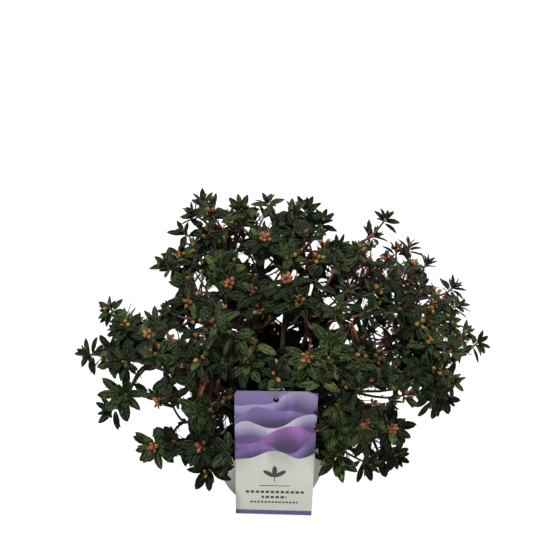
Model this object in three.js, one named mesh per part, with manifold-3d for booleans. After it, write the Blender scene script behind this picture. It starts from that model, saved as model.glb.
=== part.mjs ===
// A dwarf rhododendron in a round-bellied pot, with its hang tag and the tag's tie.
// Millimetres, +Z up. The origin is on the floor under the middle of the pot,
// the front is towards -Y and +X is to the right.

import * as THREE from "three";
import { mergeVertices } from "three/addons/utils/BufferGeometryUtils.js";
import Module from "manifold-3d";

const wasm = await Module();
wasm.setup();

// ---- Driving sizes ------------------------------------------------------------

const CLEAR = 0.35; // gap between solids that sit against each other
const CELL_MARGIN = 0.2; // each mass of leaves stays this far inside its own space

const POT = {
  belly: 60, // radius of the round belly
  bellyHeight: 48, // height of the belly's centre
  shoulderTurn: 20, // degrees above the belly's widest ring where the shoulder starts
  shoulder: 10, // radius of the shoulder's tighter round
  lipTurn: 62, // degrees at which the shoulder ends in the lip
  wall: 2.5,
  floor: 3,
  segments: 24,
};
// Height, drop at the pot's wall and radius of the level middle.
const SOIL = { top: 62, dip: 1.5, flat: 20 };
// The root flare dies out the faster, the larger fade is.
const TRUNK = { flare: 13, fade: 12, waist: 8, tip: 6.5, height: 68, lean: [4, 3], sides: 8, steps: 5 };
// handle is how strongly a bough keeps its first and last direction.
const BOUGH = { sides: 4, steps: 4, tip: 1.9, handle: 0.35 };
// A mass's stem runs from entry to hub, both shares of its size back from its centre.
const STEM = { root: 2.4, tip: 2, entry: 0.75, hub: 0.25 };
// A shoot swells into a bud over the last part of its length. reach is a share of the
// mass's size, and apart is the way along the stem from one shoot's root to the next.
// The shoots' tips spread over the outward side of the mass, cap of its radius deep.
const SHOOT = {
  root: 0.9,
  neck: 0.8,
  bud: 2.4,
  budLength: 5,
  reach: 0.7,
  first: 0.5,
  apart: 2.6,
  cap: 1.3,
  capJitter: 0.06,
  turnJitter: 0.25,
  reachJitter: 0.08,
};
const TWIG_SIDES = 3;
// Places for leaves round each bud, of which one or two stay empty. belly is where a
// leaf is widest, spread its angle from the shoot, and sunk how deep in the bud its root
// lies. reach is the share of its length that it adds to its shoot's reach.
const LEAF = {
  length: 38,
  width: 17,
  thickness: 2.6,
  belly: 0.5,
  places: 6,
  spread: 60,
  spreadJitter: 36,
  turnJitter: 0.12,
  sunk: 2.2,
  reach: 0.6,
};
const LEAF_SIZES = [1, 0.8, 0.62]; // a leaf that doesn't fit is tried smaller
const SHOOT_SIZES = [1, 0.82, 0.66, 0.5]; // and so is a shoot

// The crown's reach from the pot's axis at several heights, with a straight run between them.
const REACH = [
  { height: 20, left: 105, right: 118, depth: 95 },
  { height: 75, left: 168, right: 165, depth: 135 },
  { height: 150, left: 220, right: 240, depth: 185 },
  { height: 200, left: 214, right: 248, depth: 185 },
  { height: 238, left: 118, right: 212, depth: 160 },
  { height: 290, left: 106, right: 94, depth: 112 },
  { height: 340, left: 62, right: 60, depth: 62 },
];
const HEART = new THREE.Vector3(8, 0, 95); // the boughs spread from here

// Rings of leaf masses. gap is the angle that a ring leaves open at the front, turn how far
// the ring is turned, and tilt how much higher its right side is than its middle. root is the
// height on the trunk that its boughs leave from, and rise how steeply they leave.
const SKIRT = { name: "skirt", count: 7, height: 78, tilt: -4, size: 46, gap: 98, turn: 0 };
const LOW = { name: "low", count: 8, height: 158, tilt: -4, size: 60, gap: 72, turn: 0 };
const HIGH = { name: "high", count: 7, height: 230, tilt: 3, size: 57, gap: 0, turn: 26 };
const TOP = { name: "top", count: 4, height: 285, tilt: -4, size: 50, gap: 0, turn: 20 };
const TIERS = [
  { ...SKIRT, shoots: 4, bough: 2.6, rise: 0.1 },
  { ...LOW, shoots: 6, bough: 3.4, root: 79, rise: 0.35 },
  { ...HIGH, shoots: 6, bough: 3.2, root: 92, rise: 0.9 },
  { ...TOP, shoots: 6, bough: 3, root: 104, rise: 1.6 },
];
const UNEVEN = { turn: 8, height: 12, size: 0.06 }; // how far a mass strays from its ring
// The boughs of a ring leave the trunk in a spiral: each is this many places further
// up it than its neighbour, and the spiral climbs this far.
const SPIRAL = { places: 3, climb: 10 };
const LATERAL = 0.34; // a skirt bough leaves its parent at this share of its length

// One shoot of a right-hand mass stands alone above the crown's shoulder.
const LONE = { mass: "high_2", shoot: 0, tip: new THREE.Vector3(130, -12, 290) };

// The front bough carries the tag's tie: it leaves its parent at a share of its length, comes
// round through swing, given as shares of the way to HOOK, and crosses to the left over HOOK.
const HOOK = new THREE.Vector3(4.6, -113, 181);
const FRONT = {
  name: "front",
  centre: new THREE.Vector3(-38, -130, 206),
  size: 46,
  shoots: 5,
  bough: 2.4,
  leaves: 0.62,
  swing: new THREE.Vector3(0.25, 0.75, 0.7),
  hook: 0.7, // the share of the bough's length at which it passes HOOK
};

const TAG = {
  width: 83,
  length: 158,
  taper: 1.5, // each side of the foot is this much nearer the middle
  thickness: 1,
  corner: 3,
  lean: 19.2, // degrees that the head leans forwards
  hole: 3, // radius
  holeDrop: 10.5, // from the head's edge to the hole's middle
  holeHeight: 142.5, // above the floor
  setBack: 1.6, // the hole's middle lies this far behind the tie's
};
const TIE = { wire: 0.8, bend: 4.4, bar: 16, barRise: 3 }; // barRise: above the tag's head
// The room in front of the tag that leaves stay out of, so that it shows: it starts
// behind the tag, and its upper side rises from the tag's head towards the front.
const OPEN = { behind: 4, aside: 3, above: 5, rise: 0.32, forward: 250, side: 350 };

const COLOURS = {
  pot: 0x8d8a85,
  soil: 0x2b2018,
  bark: 0x3a271d,
  leaves: 0x2c4527,
  tag: 0xc9cbbf,
  tie: 0x8b9184,
};

// ---- Small helpers --------------------------------------------------------------

const radians = THREE.MathUtils.degToRad;
const lerp = THREE.MathUtils.lerp;
const vec = (x, y, z) => new THREE.Vector3(x, y, z);
const GOLDEN_ANGLE = Math.PI * (3 - Math.sqrt(5));

// A repeatable stream of numbers from 0 to 1.
function seeded(seed) {
  let state = seed >>> 0;
  return () => {
    state = (state + 0x6d2b79f5) >>> 0;
    let mixed = Math.imul(state ^ (state >>> 15), state | 1);
    mixed ^= mixed + Math.imul(mixed ^ (mixed >>> 7), mixed | 61);
    return ((mixed ^ (mixed >>> 14)) >>> 0) / 4294967296;
  };
}

// A closed geometry as a solid that can be joined and cut.
function solidOf(geometry) {
  geometry.deleteAttribute("normal");
  geometry.deleteAttribute("uv");
  const merged = mergeVertices(geometry, 1e-4);
  return new wasm.Manifold(
    new wasm.Mesh({
      numProp: 3,
      vertProperties: merged.attributes.position.array,
      triVerts: new Uint32Array(merged.index.array),
    }),
  );
}

function geometryOf(solid) {
  const mesh = solid.getMesh();
  const geometry = new THREE.BufferGeometry();
  geometry.setAttribute("position", new THREE.BufferAttribute(mesh.vertProperties, 3));
  geometry.setIndex(new THREE.BufferAttribute(mesh.triVerts, 1));
  geometry.computeVertexNormals();
  return geometry;
}

// The one body that matters: loose scraps and the skins of sealed hollows are dropped.
function largestBody(solid) {
  return solid.decompose().reduce((a, b) => (b.volume() > a.volume() ? b : a));
}

function meshOf(name, geometry, colour, roughness) {
  const material = new THREE.MeshStandardMaterial({ color: colour, roughness, metalness: 0 });
  const mesh = new THREE.Mesh(geometry, material);
  mesh.name = name;
  return mesh;
}

// Two directions square to an axis.
function squareTo(axis) {
  const aside = Math.abs(axis.z) < 0.9 ? vec(0, 0, 1) : vec(1, 0, 0);
  const u = aside.cross(axis).normalize();
  const v = axis.clone().cross(u);
  return [u, v];
}

// A tapering limb with flat ends: a unit cylinder whose rings are set along a curve.
// Each ring is [share of the curve, radius].
function limb(curve, rings, sides) {
  const geometry = new THREE.CylinderGeometry(1, 1, 1, sides, rings.length - 1);
  const corners = geometry.attributes.position;
  let normal = squareTo(curve.getTangentAt(0))[0];
  const frames = rings.map(([along, radius]) => {
    const tangent = curve.getTangentAt(along);
    normal = normal.clone().addScaledVector(tangent, -normal.dot(tangent)).normalize();
    return { centre: curve.getPointAt(along), normal, across: normal.clone().cross(tangent), radius };
  });
  for (let i = 0; i < corners.count; i++) {
    const frame = frames[Math.round((corners.getY(i) + 0.5) * (rings.length - 1))];
    const corner = frame.centre
      .clone()
      .addScaledVector(frame.normal, corners.getX(i) * frame.radius)
      .addScaledVector(frame.across, corners.getZ(i) * frame.radius);
    corners.setXYZ(i, corner.x, corner.y, corner.z);
  }
  return solidOf(geometry);
}

// Evenly spaced rings, with a radius worked out for each share of the length.
const evenRings = (steps, radiusAt) =>
  Array.from({ length: steps + 1 }, (_, i) => [i / steps, radiusAt(i / steps)]);

// ---- Pot, soil and trunk ----------------------------------------------------------

function arc(centre, radius, from, to, steps) {
  return Array.from({ length: steps + 1 }, (_, i) => {
    const turn = radians(lerp(from, to, i / steps));
    return new THREE.Vector2(centre.x + radius * Math.cos(turn), centre.y + radius * Math.sin(turn));
  });
}

const bellyCentre = new THREE.Vector2(0, POT.bellyHeight);
const shoulderCentre = new THREE.Vector2(
  (POT.belly - POT.shoulder) * Math.cos(radians(POT.shoulderTurn)),
  POT.bellyHeight + (POT.belly - POT.shoulder) * Math.sin(radians(POT.shoulderTurn)),
);
const turnAtHeight = (height, radius) =>
  THREE.MathUtils.radToDeg(Math.asin((height - POT.bellyHeight) / radius));

// Turns a profile of radius and height round the Z axis.
function turned(profile) {
  const geometry = new THREE.LatheGeometry(profile, POT.segments);
  geometry.rotateX(Math.PI / 2);
  return solidOf(geometry);
}

// The pot's outside, grown by extra, from the middle of its foot to the lip.
function potOutside(extra) {
  const belly = POT.belly + extra;
  return [
    new THREE.Vector2(0, -extra),
    ...arc(bellyCentre, belly, turnAtHeight(-extra, belly), POT.shoulderTurn, 6),
    ...arc(shoulderCentre, POT.shoulder + extra, POT.shoulderTurn, POT.lipTurn, 2).slice(1),
  ];
}

// The inside of the belly from the soil's edge down to the floor, drawn in by extra.
function bellyInside(extra) {
  const inner = POT.belly - POT.wall;
  const from = turnAtHeight(SOIL.top - SOIL.dip, inner);
  const to = turnAtHeight(POT.floor, inner);
  return arc(bellyCentre, inner - extra, from, to, 4);
}

function makePot() {
  const lipCentre = shoulderCentre
    .clone()
    .add(arc(new THREE.Vector2(), POT.shoulder - POT.wall / 2, POT.lipTurn, POT.lipTurn, 1)[0]);
  return turned([
    ...potOutside(0),
    ...arc(lipCentre, POT.wall / 2, POT.lipTurn, POT.lipTurn + 180, 3).slice(1),
    ...arc(shoulderCentre, POT.shoulder - POT.wall, POT.lipTurn, POT.shoulderTurn, 1).slice(1),
    ...bellyInside(0),
    new THREE.Vector2(0, POT.floor),
  ]);
}

function makeSoil() {
  const side = bellyInside(CLEAR).reverse();
  return turned([
    new THREE.Vector2(0, side[0].y),
    ...side,
    new THREE.Vector2(SOIL.flat, SOIL.top),
    new THREE.Vector2(0, SOIL.top),
  ]);
}

const trunkFoot = vec(0, 0, SOIL.top + CLEAR);
const trunkTop = vec(...TRUNK.lean, trunkFoot.z + TRUNK.height);
const trunkLine = new THREE.QuadraticBezierCurve3(
  trunkFoot,
  vec(0, 0, lerp(trunkFoot.z, trunkTop.z, 0.5)),
  trunkTop,
);
const trunkRadius = (along) =>
  lerp(TRUNK.waist, TRUNK.tip, along) +
  (TRUNK.flare - TRUNK.waist) * Math.exp(-along * TRUNK.fade);

const makeTrunk = (extra) =>
  limb(trunkLine, evenRings(TRUNK.steps, (along) => trunkRadius(along) + extra), TRUNK.sides);

const onTrunk = (height) =>
  trunkLine.getPoint((height - trunkFoot.z) / (trunkTop.z - trunkFoot.z));

// ---- The crown's layout ------------------------------------------------------------

// How far the crown reaches from the axis at a height and an azimuth (0 is +X).
function reachAt(height, azimuth) {
  const above = Math.max(1, REACH.findIndex((row) => row.height >= height));
  const [low, high] = [REACH[above - 1], REACH[above]];
  const share = THREE.MathUtils.clamp((height - low.height) / (high.height - low.height), 0, 1);
  const side = Math.cos(azimuth) < 0 ? "left" : "right";
  const across = lerp(low[side], high[side], share);
  const depth = lerp(low.depth, high.depth, share);
  return 1 / Math.hypot(Math.cos(azimuth) / across, Math.sin(azimuth) / depth);
}

// Adds to a mass the places that follow from its centre and size.
function withStem(mass, outward) {
  const entry = mass.centre.clone().addScaledVector(outward, -STEM.entry * mass.size);
  const hub = mass.centre.clone().addScaledVector(outward, -STEM.hub * mass.size);
  return { ...mass, outward, entry, hub };
}

function layOutMasses() {
  const draw = seeded(11);
  const stray = () => 2 * draw() - 1;
  const masses = TIERS.flatMap((tier) =>
    Array.from({ length: tier.count }, (_, index) => {
      const step = (360 - tier.gap) / (tier.gap ? tier.count - 1 : tier.count);
      const even = 270 + tier.gap / 2 + tier.turn + index * step;
      const azimuth = radians(even + (stray() * UNEVEN.turn) / 2);
      const level = tier.height + tier.tilt * Math.cos(azimuth);
      const height = level + (stray() * UNEVEN.height) / 2;
      const size = tier.size * (1 + stray() * UNEVEN.size);
      const out = reachAt(height, azimuth) - SHOOT.reach * size - LEAF.reach * LEAF.length;
      const centre = vec(out * Math.cos(azimuth), out * Math.sin(azimuth), height);
      const outward = centre.clone().sub(HEART).normalize();
      return withStem({ name: `${tier.name}_${index + 1}`, tier, index, azimuth, centre, size }, outward);
    }),
  );
  const outward = FRONT.centre.clone().sub(HOOK).normalize();
  const { centre, size } = FRONT;
  masses.push(withStem({ name: `${FRONT.name}_1`, tier: FRONT, index: 0, centre, size }, outward));
  return masses.map((mass, index) => ({ ...mass, seed: 100 + index }));
}
const masses = layOutMasses();

// ---- Boughs -----------------------------------------------------------------------

// A bough leaves outwards at its tier's slope, and comes in along the mass's stem.
function boughCurve(start, mass) {
  const { azimuth, entry, outward, tier } = mass;
  const handle = start.distanceTo(entry) * BOUGH.handle;
  const away = vec(Math.cos(azimuth), Math.sin(azimuth), tier.rise).normalize();
  return new THREE.CubicBezierCurve3(
    start,
    start.clone().addScaledVector(away, handle),
    entry.clone().addScaledVector(outward, -handle),
    entry,
  );
}

function boughFromTrunk(mass) {
  const { tier, index } = mass;
  const place = (index * SPIRAL.places) % tier.count;
  return boughCurve(onTrunk(tier.root + (place / tier.count) * SPIRAL.climb), mass);
}

// A skirt bough leaves the nearest low bough, and passes over the pot's lip.
const boughFromParent = (mass, parent) => boughCurve(parent.curve.getPointAt(LATERAL), mass);

// The bough under the tie rises from the first low bough and swings across the front.
function boughToFront(mass, parent) {
  const start = parent.curve.getPointAt(FRONT.leaves);
  const swing = HOOK.clone().sub(start).multiply(FRONT.swing).add(start);
  return new THREE.CatmullRomCurve3([start, swing, HOOK, mass.entry]);
}

function makeBoughs() {
  const trunk = makeTrunk(CLEAR);
  const boughs = [];
  const add = (mass, curve, seat) => {
    const shape = (extra) => {
      const radius = (along) => lerp(mass.tier.bough, BOUGH.tip, along) + extra;
      return limb(curve, evenRings(BOUGH.steps, radius), BOUGH.sides);
    };
    const grown = shape(CLEAR);
    const body = largestBody(shape(0).subtract(seat));
    const bough = { name: `bough_${mass.name}`, mass, curve, body, grown };
    boughs.push(bough);
    return bough;
  };
  const inTier = (name) => masses.filter((mass) => mass.tier.name === name);
  const nearest = (mass, others) =>
    others.reduce((a, b) =>
      a.mass.centre.distanceTo(mass.centre) < b.mass.centre.distanceTo(mass.centre) ? a : b,
    );
  for (const mass of [...inTier("low"), ...inTier("high"), ...inTier("top")])
    add(mass, boughFromTrunk(mass), trunk);
  const low = boughs.filter((bough) => bough.mass.tier.name === "low");
  for (const mass of inTier("skirt")) {
    const parent = nearest(mass, low.filter((bough) => !bough.hasLateral));
    parent.hasLateral = true;
    add(mass, boughFromParent(mass, parent), parent.grown);
  }
  for (const mass of inTier("front")) add(mass, boughToFront(mass, low[0]), low[0].grown);
  return boughs;
}
const boughs = makeBoughs();

// ---- Tag and tie ------------------------------------------------------------------

const lean = radians(TAG.lean);
const holeMiddle = vec(HOOK.x, HOOK.y + TAG.setBack, TAG.holeHeight);

// The tie hangs over the front bough, and the tag's hole hangs on its lowest point.
const hookRadius = lerp(FRONT.bough, BOUGH.tip, FRONT.hook);
const loopTop = HOOK.z + hookRadius + CLEAR + TIE.wire;
const loopFoot = holeMiddle.z + TAG.hole * Math.cos(lean) - TIE.wire - CLEAR;

function makeTag() {
  const half = TAG.width / 2;
  const foot = half - TAG.taper;
  const outline = new THREE.Shape()
    .moveTo(-foot, 0)
    .lineTo(foot, 0)
    .lineTo(half, TAG.length - TAG.corner)
    .absarc(half - TAG.corner, TAG.length - TAG.corner, TAG.corner, 0, Math.PI / 2)
    .absarc(TAG.corner - half, TAG.length - TAG.corner, TAG.corner, Math.PI / 2, Math.PI);
  const hole = new THREE.Path().absarc(0, TAG.length - TAG.holeDrop, TAG.hole, 0, 2 * Math.PI);
  outline.holes.push(hole);
  const geometry = new THREE.ExtrudeGeometry(outline, {
    depth: TAG.thickness,
    bevelEnabled: false,
    curveSegments: 4,
  });
  geometry.translate(0, TAG.holeDrop - TAG.length, -TAG.thickness / 2);
  return solidOf(geometry);
}

// A long closed loop of wire in the YZ plane, with the fastener's cross bar.
function makeTie() {
  const stretch = loopTop - loopFoot - 2 * TIE.bend;
  const ring = new THREE.TorusGeometry(TIE.bend, TIE.wire, 5, 12);
  const corners = ring.attributes.position;
  for (let i = 0; i < corners.count; i++)
    if (corners.getY(i) > TIE.wire) corners.setY(i, corners.getY(i) + stretch);
  ring.rotateX(Math.PI / 2);
  ring.rotateZ(Math.PI / 2);
  ring.translate(HOOK.x, HOOK.y, loopFoot + TIE.bend);
  const bar = new THREE.CylinderGeometry(TIE.wire, TIE.wire, TIE.bar, 6);
  bar.rotateZ(Math.PI / 2);
  const head = holeMiddle.z + TAG.holeDrop * Math.cos(lean);
  bar.translate(HOOK.x, HOOK.y - TIE.bend, head + TIE.barRise);
  return solidOf(ring).add(solidOf(bar));
}

// ---- Masses of leaves ----------------------------------------------------------------

// The room that leaves stay out of: the pot, the tag and the view of it, the tie and the floor.
function closedSpace() {
  const pot = turned([...potOutside(CLEAR + 1), new THREE.Vector2(0, SOIL.top + POT.shoulder)]);
  const up = new THREE.Vector2(-Math.sin(lean), Math.cos(lean));
  const hole = new THREE.Vector2(holeMiddle.y + OPEN.behind, holeMiddle.z);
  const foot = hole.clone().addScaledVector(up, TAG.holeDrop - TAG.length);
  const head = hole.clone().addScaledVector(up, TAG.holeDrop + OPEN.above);
  const front = new THREE.Vector2(-OPEN.forward, head.y + (head.x + OPEN.forward) * OPEN.rise);
  const side = new THREE.Shape([foot, head, front, new THREE.Vector2(-OPEN.forward, 0)]);
  const width = TAG.width + 2 * OPEN.aside;
  const view = new THREE.ExtrudeGeometry(side, { depth: width, bevelEnabled: false });
  view.rotateX(Math.PI / 2);
  view.rotateZ(Math.PI / 2);
  view.translate(HOOK.x - width / 2, 0, 0);
  const loop = loopTop - loopFoot;
  const tie = new THREE.BoxGeometry(TIE.bar + 2 * OPEN.aside, 4 * TIE.bend, loop + 2 * TIE.bend);
  tie.translate(HOOK.x, HOOK.y, (loopTop + loopFoot) / 2);
  const floor = new THREE.BoxGeometry(2 * OPEN.side, 2 * OPEN.side, OPEN.side);
  floor.translate(0, 0, CELL_MARGIN - OPEN.side / 2);
  return [pot, solidOf(view), solidOf(tie), solidOf(floor)];
}

function stemOf(mass, extra) {
  const start = mass.entry.clone().addScaledVector(mass.outward, CLEAR);
  const line = new THREE.LineCurve3(start, mass.hub);
  return limb(line, evenRings(1, (along) => lerp(STEM.root, STEM.tip, along) + extra), TWIG_SIDES);
}

// A point lies in a mass's space where it is nearer to it than to any other mass,
// with each distance measured against the mass's own size.
function inSpace(mass, point) {
  return masses.every((other) => {
    if (other === mass) return true;
    const apart = other.centre.clone().sub(mass.centre);
    const distance = apart.length();
    const border = (distance ** 2 + mass.size ** 2 - other.size ** 2) / (2 * distance);
    return point.clone().sub(mass.centre).dot(apart) / distance <= border - CELL_MARGIN;
  });
}

const blocked = (piece, space) => space.some((solid) => !piece.intersect(solid).isEmpty());

// A leaf: two three-sided pyramids base to base, with an edge as its keel below and a flat
// face above. A triangle in a circle of radius 1 is root 3 wide and 1.5 high.
function leafOf(root, axis, keel, size) {
  const profile = [new THREE.Vector2(0, 0), new THREE.Vector2(1, LEAF.belly), new THREE.Vector2(0, 1)];
  const geometry = new THREE.LatheGeometry(profile, TWIG_SIDES);
  const corners = geometry.attributes.position;
  const across = axis.clone().cross(keel);
  const points = [];
  for (let i = 0; i < corners.count; i++) {
    const corner = root
      .clone()
      .addScaledVector(axis, corners.getY(i) * LEAF.length * size)
      .addScaledVector(across, (corners.getX(i) * LEAF.width * size) / Math.sqrt(3))
      .addScaledVector(keel, (corners.getZ(i) * LEAF.thickness) / 1.5);
    corners.setXYZ(i, corner.x, corner.y, corner.z);
    points.push(corner);
  }
  return { solid: solidOf(geometry), points };
}

// The tips of a mass's shoots: even over its outward side, nudged at random.
function shootTips(mass) {
  const draw = seeded(mass.seed);
  const stray = (most) => (2 * draw() - 1) * most;
  const [u, v] = squareTo(mass.outward);
  const start = draw() * 2 * Math.PI;
  return Array.from({ length: mass.tier.shoots }, (_, k) => {
    const cosine = 1 - (SHOOT.cap * (k + 0.5)) / mass.tier.shoots + stray(SHOOT.capJitter);
    const sine = Math.sqrt(1 - cosine ** 2);
    const turn = start + k * GOLDEN_ANGLE + stray(SHOOT.turnJitter);
    const reach = mass.size * SHOOT.reach * (1 + stray(SHOOT.reachJitter));
    if (mass.name === LONE.mass && k === LONE.shoot) return LONE.tip;
    return mass.centre
      .clone()
      .addScaledVector(mass.outward, cosine * reach)
      .addScaledVector(u, sine * Math.cos(turn) * reach)
      .addScaledVector(v, sine * Math.sin(turn) * reach);
  });
}

// A shoot from its root to its tip, swelling into a bud.
function shootOf(root, tip) {
  const line = new THREE.LineCurve3(root, tip);
  const neck = 1 - SHOOT.budLength / line.getLength();
  return limb(line, [[0, SHOOT.root], [neck, SHOOT.neck], [1, SHOOT.bud]], TWIG_SIDES);
}

// A star of leaves round the bud.
function starOf(root, tip, draw, fits) {
  const axis = tip.clone().sub(root).normalize();
  const [u, v] = squareTo(axis);
  const middle = tip.clone().addScaledVector(axis, -LEAF.sunk);
  const empty = Math.floor(draw() * LEAF.places);
  const alsoEmpty = (empty + Math.floor((draw() * LEAF.places) / 2)) % LEAF.places;
  const leaves = [];
  for (let place = 0; place < LEAF.places; place++) {
    const turn = ((place + 0.5 + (draw() - 0.5) * LEAF.turnJitter) * 2 * Math.PI) / LEAF.places;
    const spread = radians(LEAF.spread + (draw() - 0.5) * LEAF.spreadJitter);
    if (place === empty || place === alsoEmpty) continue;
    const away = u.clone().multiplyScalar(Math.sin(turn)).addScaledVector(v, -Math.cos(turn));
    const along = axis.clone().multiplyScalar(Math.cos(spread)).addScaledVector(away, Math.sin(spread));
    const keel = away.clone().cross(axis).cross(along).normalize();
    const leaf = LEAF_SIZES.map((size) => leafOf(middle, along, keel, size)).find(fits);
    if (leaf) leaves.push(leaf.solid);
  }
  return leaves;
}

function makeMass(mass, closed) {
  const others = masses.filter((other) => other !== mass).map((other) => stemOf(other, CLEAR));
  const space = [...closed, wasm.Manifold.union(others)];
  const fits = (piece) =>
    piece.points.every((point) => inSpace(mass, point)) && !blocked(piece.solid, space);
  const draw = seeded(mass.seed + 1000);
  const pieces = [stemOf(mass, 0)];
  shootTips(mass).forEach((wanted, k) => {
    const root = mass.hub.clone().addScaledVector(mass.outward, -SHOOT.first - k * SHOOT.apart);
    for (const share of SHOOT_SIZES) {
      const tip = root.clone().lerp(wanted, share);
      const twig = shootOf(root, tip);
      if (!inSpace(mass, tip) || blocked(twig, space)) continue;
      const leaves = starOf(root, tip, draw, fits);
      if (leaves.length < 2) continue;
      pieces.push(twig, ...leaves);
      break;
    }
  });
  return largestBody(wasm.Manifold.union(pieces));
}

// ---- The whole plant ----------------------------------------------------------------

const plant = new THREE.Group();
plant.add(meshOf("pot", geometryOf(makePot()), COLOURS.pot, 0.7));
plant.add(meshOf("soil", geometryOf(makeSoil()), COLOURS.soil, 1));
plant.add(meshOf("trunk", geometryOf(makeTrunk(0)), COLOURS.bark, 0.9));
for (const bough of boughs) plant.add(meshOf(bough.name, geometryOf(bough.body), COLOURS.bark, 0.9));

const tag = meshOf("tag", geometryOf(makeTag()), COLOURS.tag, 0.45);
tag.position.copy(holeMiddle);
tag.rotation.x = Math.PI / 2 + lean;
plant.add(tag);
plant.add(meshOf("tie", geometryOf(makeTie()), COLOURS.tie, 0.5));

const limbs = wasm.Manifold.union([makeTrunk(CLEAR), ...boughs.map((bough) => bough.grown)]);
const closed = [...closedSpace(), limbs];
for (const mass of masses)
  plant.add(meshOf(`leaves_${mass.name}`, geometryOf(makeMass(mass, closed)), COLOURS.leaves, 0.6));

export default plant;
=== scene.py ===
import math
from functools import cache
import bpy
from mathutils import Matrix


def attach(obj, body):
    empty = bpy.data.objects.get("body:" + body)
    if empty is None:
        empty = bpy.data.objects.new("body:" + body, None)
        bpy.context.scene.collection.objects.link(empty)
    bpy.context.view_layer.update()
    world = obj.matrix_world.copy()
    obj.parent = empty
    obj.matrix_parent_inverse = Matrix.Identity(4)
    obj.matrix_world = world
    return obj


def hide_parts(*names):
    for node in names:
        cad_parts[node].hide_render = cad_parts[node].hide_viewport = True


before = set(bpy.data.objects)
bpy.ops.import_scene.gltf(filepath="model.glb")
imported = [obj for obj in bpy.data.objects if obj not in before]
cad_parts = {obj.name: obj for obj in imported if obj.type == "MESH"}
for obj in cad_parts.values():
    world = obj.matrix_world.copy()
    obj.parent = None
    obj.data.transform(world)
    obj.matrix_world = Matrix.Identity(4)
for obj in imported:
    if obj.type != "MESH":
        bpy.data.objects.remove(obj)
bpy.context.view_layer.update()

# A dwarf rhododendron in a round-bellied pot, with a printed hang tag on a plastic tie.
# The layout is worked out in millimetres, with the origin on the floor under the pot, the
# front towards -Y and +X to the right. Only the finished meshes are in metres.

from types import SimpleNamespace

import bmesh
import bpy
import numpy as np
from mathutils import Matrix, Vector, noise

MM = 0.001
FULL_TURN = 2 * math.pi
GOLDEN_ANGLE = math.pi * (3 - math.sqrt(5))
RIGHT = Vector((1, 0, 0))
UP = Vector((0, 0, 1))

# ---- Driving sizes, the same as the solids' ----

POT = SimpleNamespace(
    belly=60, belly_height=48, shoulder_turn=20, shoulder=10, lip_turn=62, wall=2.5, floor=3
)
SOIL = SimpleNamespace(top=62, dip=1.5, flat=20)
TRUNK = SimpleNamespace(flare=13, fade=12, waist=8, tip=6.5, height=68, lean=(4, 3))
BOUGH = SimpleNamespace(tip=1.9, handle=0.35)
STEM = SimpleNamespace(tip=2, entry=0.75, hub=0.25)
SHOOT = SimpleNamespace(
    reach=0.7, first=0.5, apart=2.6, cap=1.3, cap_jitter=0.06, turn_jitter=0.25, reach_jitter=0.08
)
CLEAR = 0.35
CELL_MARGIN = 0.2
SOLID_LEAF = SimpleNamespace(length=38, reach=0.6)

# Height, and reach to the left, to the right and in depth.
REACH = (
    (20, 105, 118, 95),
    (75, 168, 165, 135),
    (150, 220, 240, 185),
    (200, 214, 248, 185),
    (238, 118, 212, 160),
    (290, 106, 94, 112),
    (340, 62, 60, 62),
)
HEART = Vector((8, 0, 95))

TIER_COLUMNS = "name count height tilt size gap turn shoots bough root rise".split()
TIER_ROWS = (
    ("skirt", 7, 78, -4, 46, 98, 0, 4, 2.6, None, 0.1),
    ("low", 8, 158, -4, 60, 72, 0, 6, 3.4, 79, 0.35),
    ("high", 7, 230, 3, 57, 0, 26, 6, 3.2, 92, 0.9),
    ("top", 4, 285, -4, 50, 0, 20, 6, 3, 104, 1.6),
)
TIERS = [SimpleNamespace(**dict(zip(TIER_COLUMNS, row))) for row in TIER_ROWS]
UNEVEN = SimpleNamespace(turn=8, height=12, size=0.06)
SPIRAL = SimpleNamespace(places=3, climb=10)
LATERAL = 0.34
HOOK = Vector((4.6, -113, 181))
FRONT = SimpleNamespace(
    name="front",
    centre=Vector((-38, -130, 206)),
    size=46,
    shoots=5,
    bough=2.4,
    leaves=0.62,
    swing=Vector((0.25, 0.75, 0.7)),
    hook=0.7,
)
TAG = SimpleNamespace(
    width=83,
    length=158,
    taper=1.5,
    thickness=0.8,
    corner=3,
    lean=math.radians(19.2),
    hole=3,
    hole_drop=10.5,
    hole_height=142.5,
    set_back=1.6,
    roll=math.radians(-0.8),
)
TIE = SimpleNamespace(wire=0.8, bend=4.4, bar=16, bar_rise=3)
OPEN = SimpleNamespace(behind=2, aside=0.5, above=1.5, rise=0.25)

# ---- Sizes that only the dress has ----
# Where two numbers stand for one size, they are its least and its most. A twig's two radii
# are the one at its root and the one at its tip.

# The room that leaves keep from the floor, the pot, the potting mix and the tie's bar.
ROOM = SimpleNamespace(floor=2, belly=1.5, soil=4, tie=1)
# Twigs: the radii of main ones and of spurs, how far they bow, and how they leave and arrive.
TWIG = SimpleNamespace(
    main=(1.7, 1.0), spur=(1.15, 0.8), bow=0.16, sway=0.4, handle=0.35, upturn=0.25
)
# How far behind the hub of its mass a leading twig starts, and the shares of its full length
# that each of the mass's first twigs is tried at.
LEADER_ROOT = (0.5, 12)
SHORTENED = (1.04, 0.9, 0.78, 0.64, 0.5)
# Spurs: where they start on a twig, their angle to it in degrees, and their length.
SPUR = SimpleNamespace(
    start=(0.35, 0.8), spread=(30, 75), length=(20, 42), outward=0.25, upward=0.15
)
# How far from the centre of its mass a spur may end, and how many are tried for each star.
SPREAD_OF_MASS = SimpleNamespace(reach=0.8, beyond=4, tries=60)
# Twigs of the top tier that fill its middle: how far out they end, and how high.
MIDDLE = SimpleNamespace(shares=(0.1, 0.45, 0.7), rise=22, lift=(0.4, 1))
# Short twigs along the boughs, which end within a share of the crown's reach.
TUFT = SimpleNamespace(apart=6.5, first=0.3, length=(12, 34), along=0.4, gap=11, reach=0.62)
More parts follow.
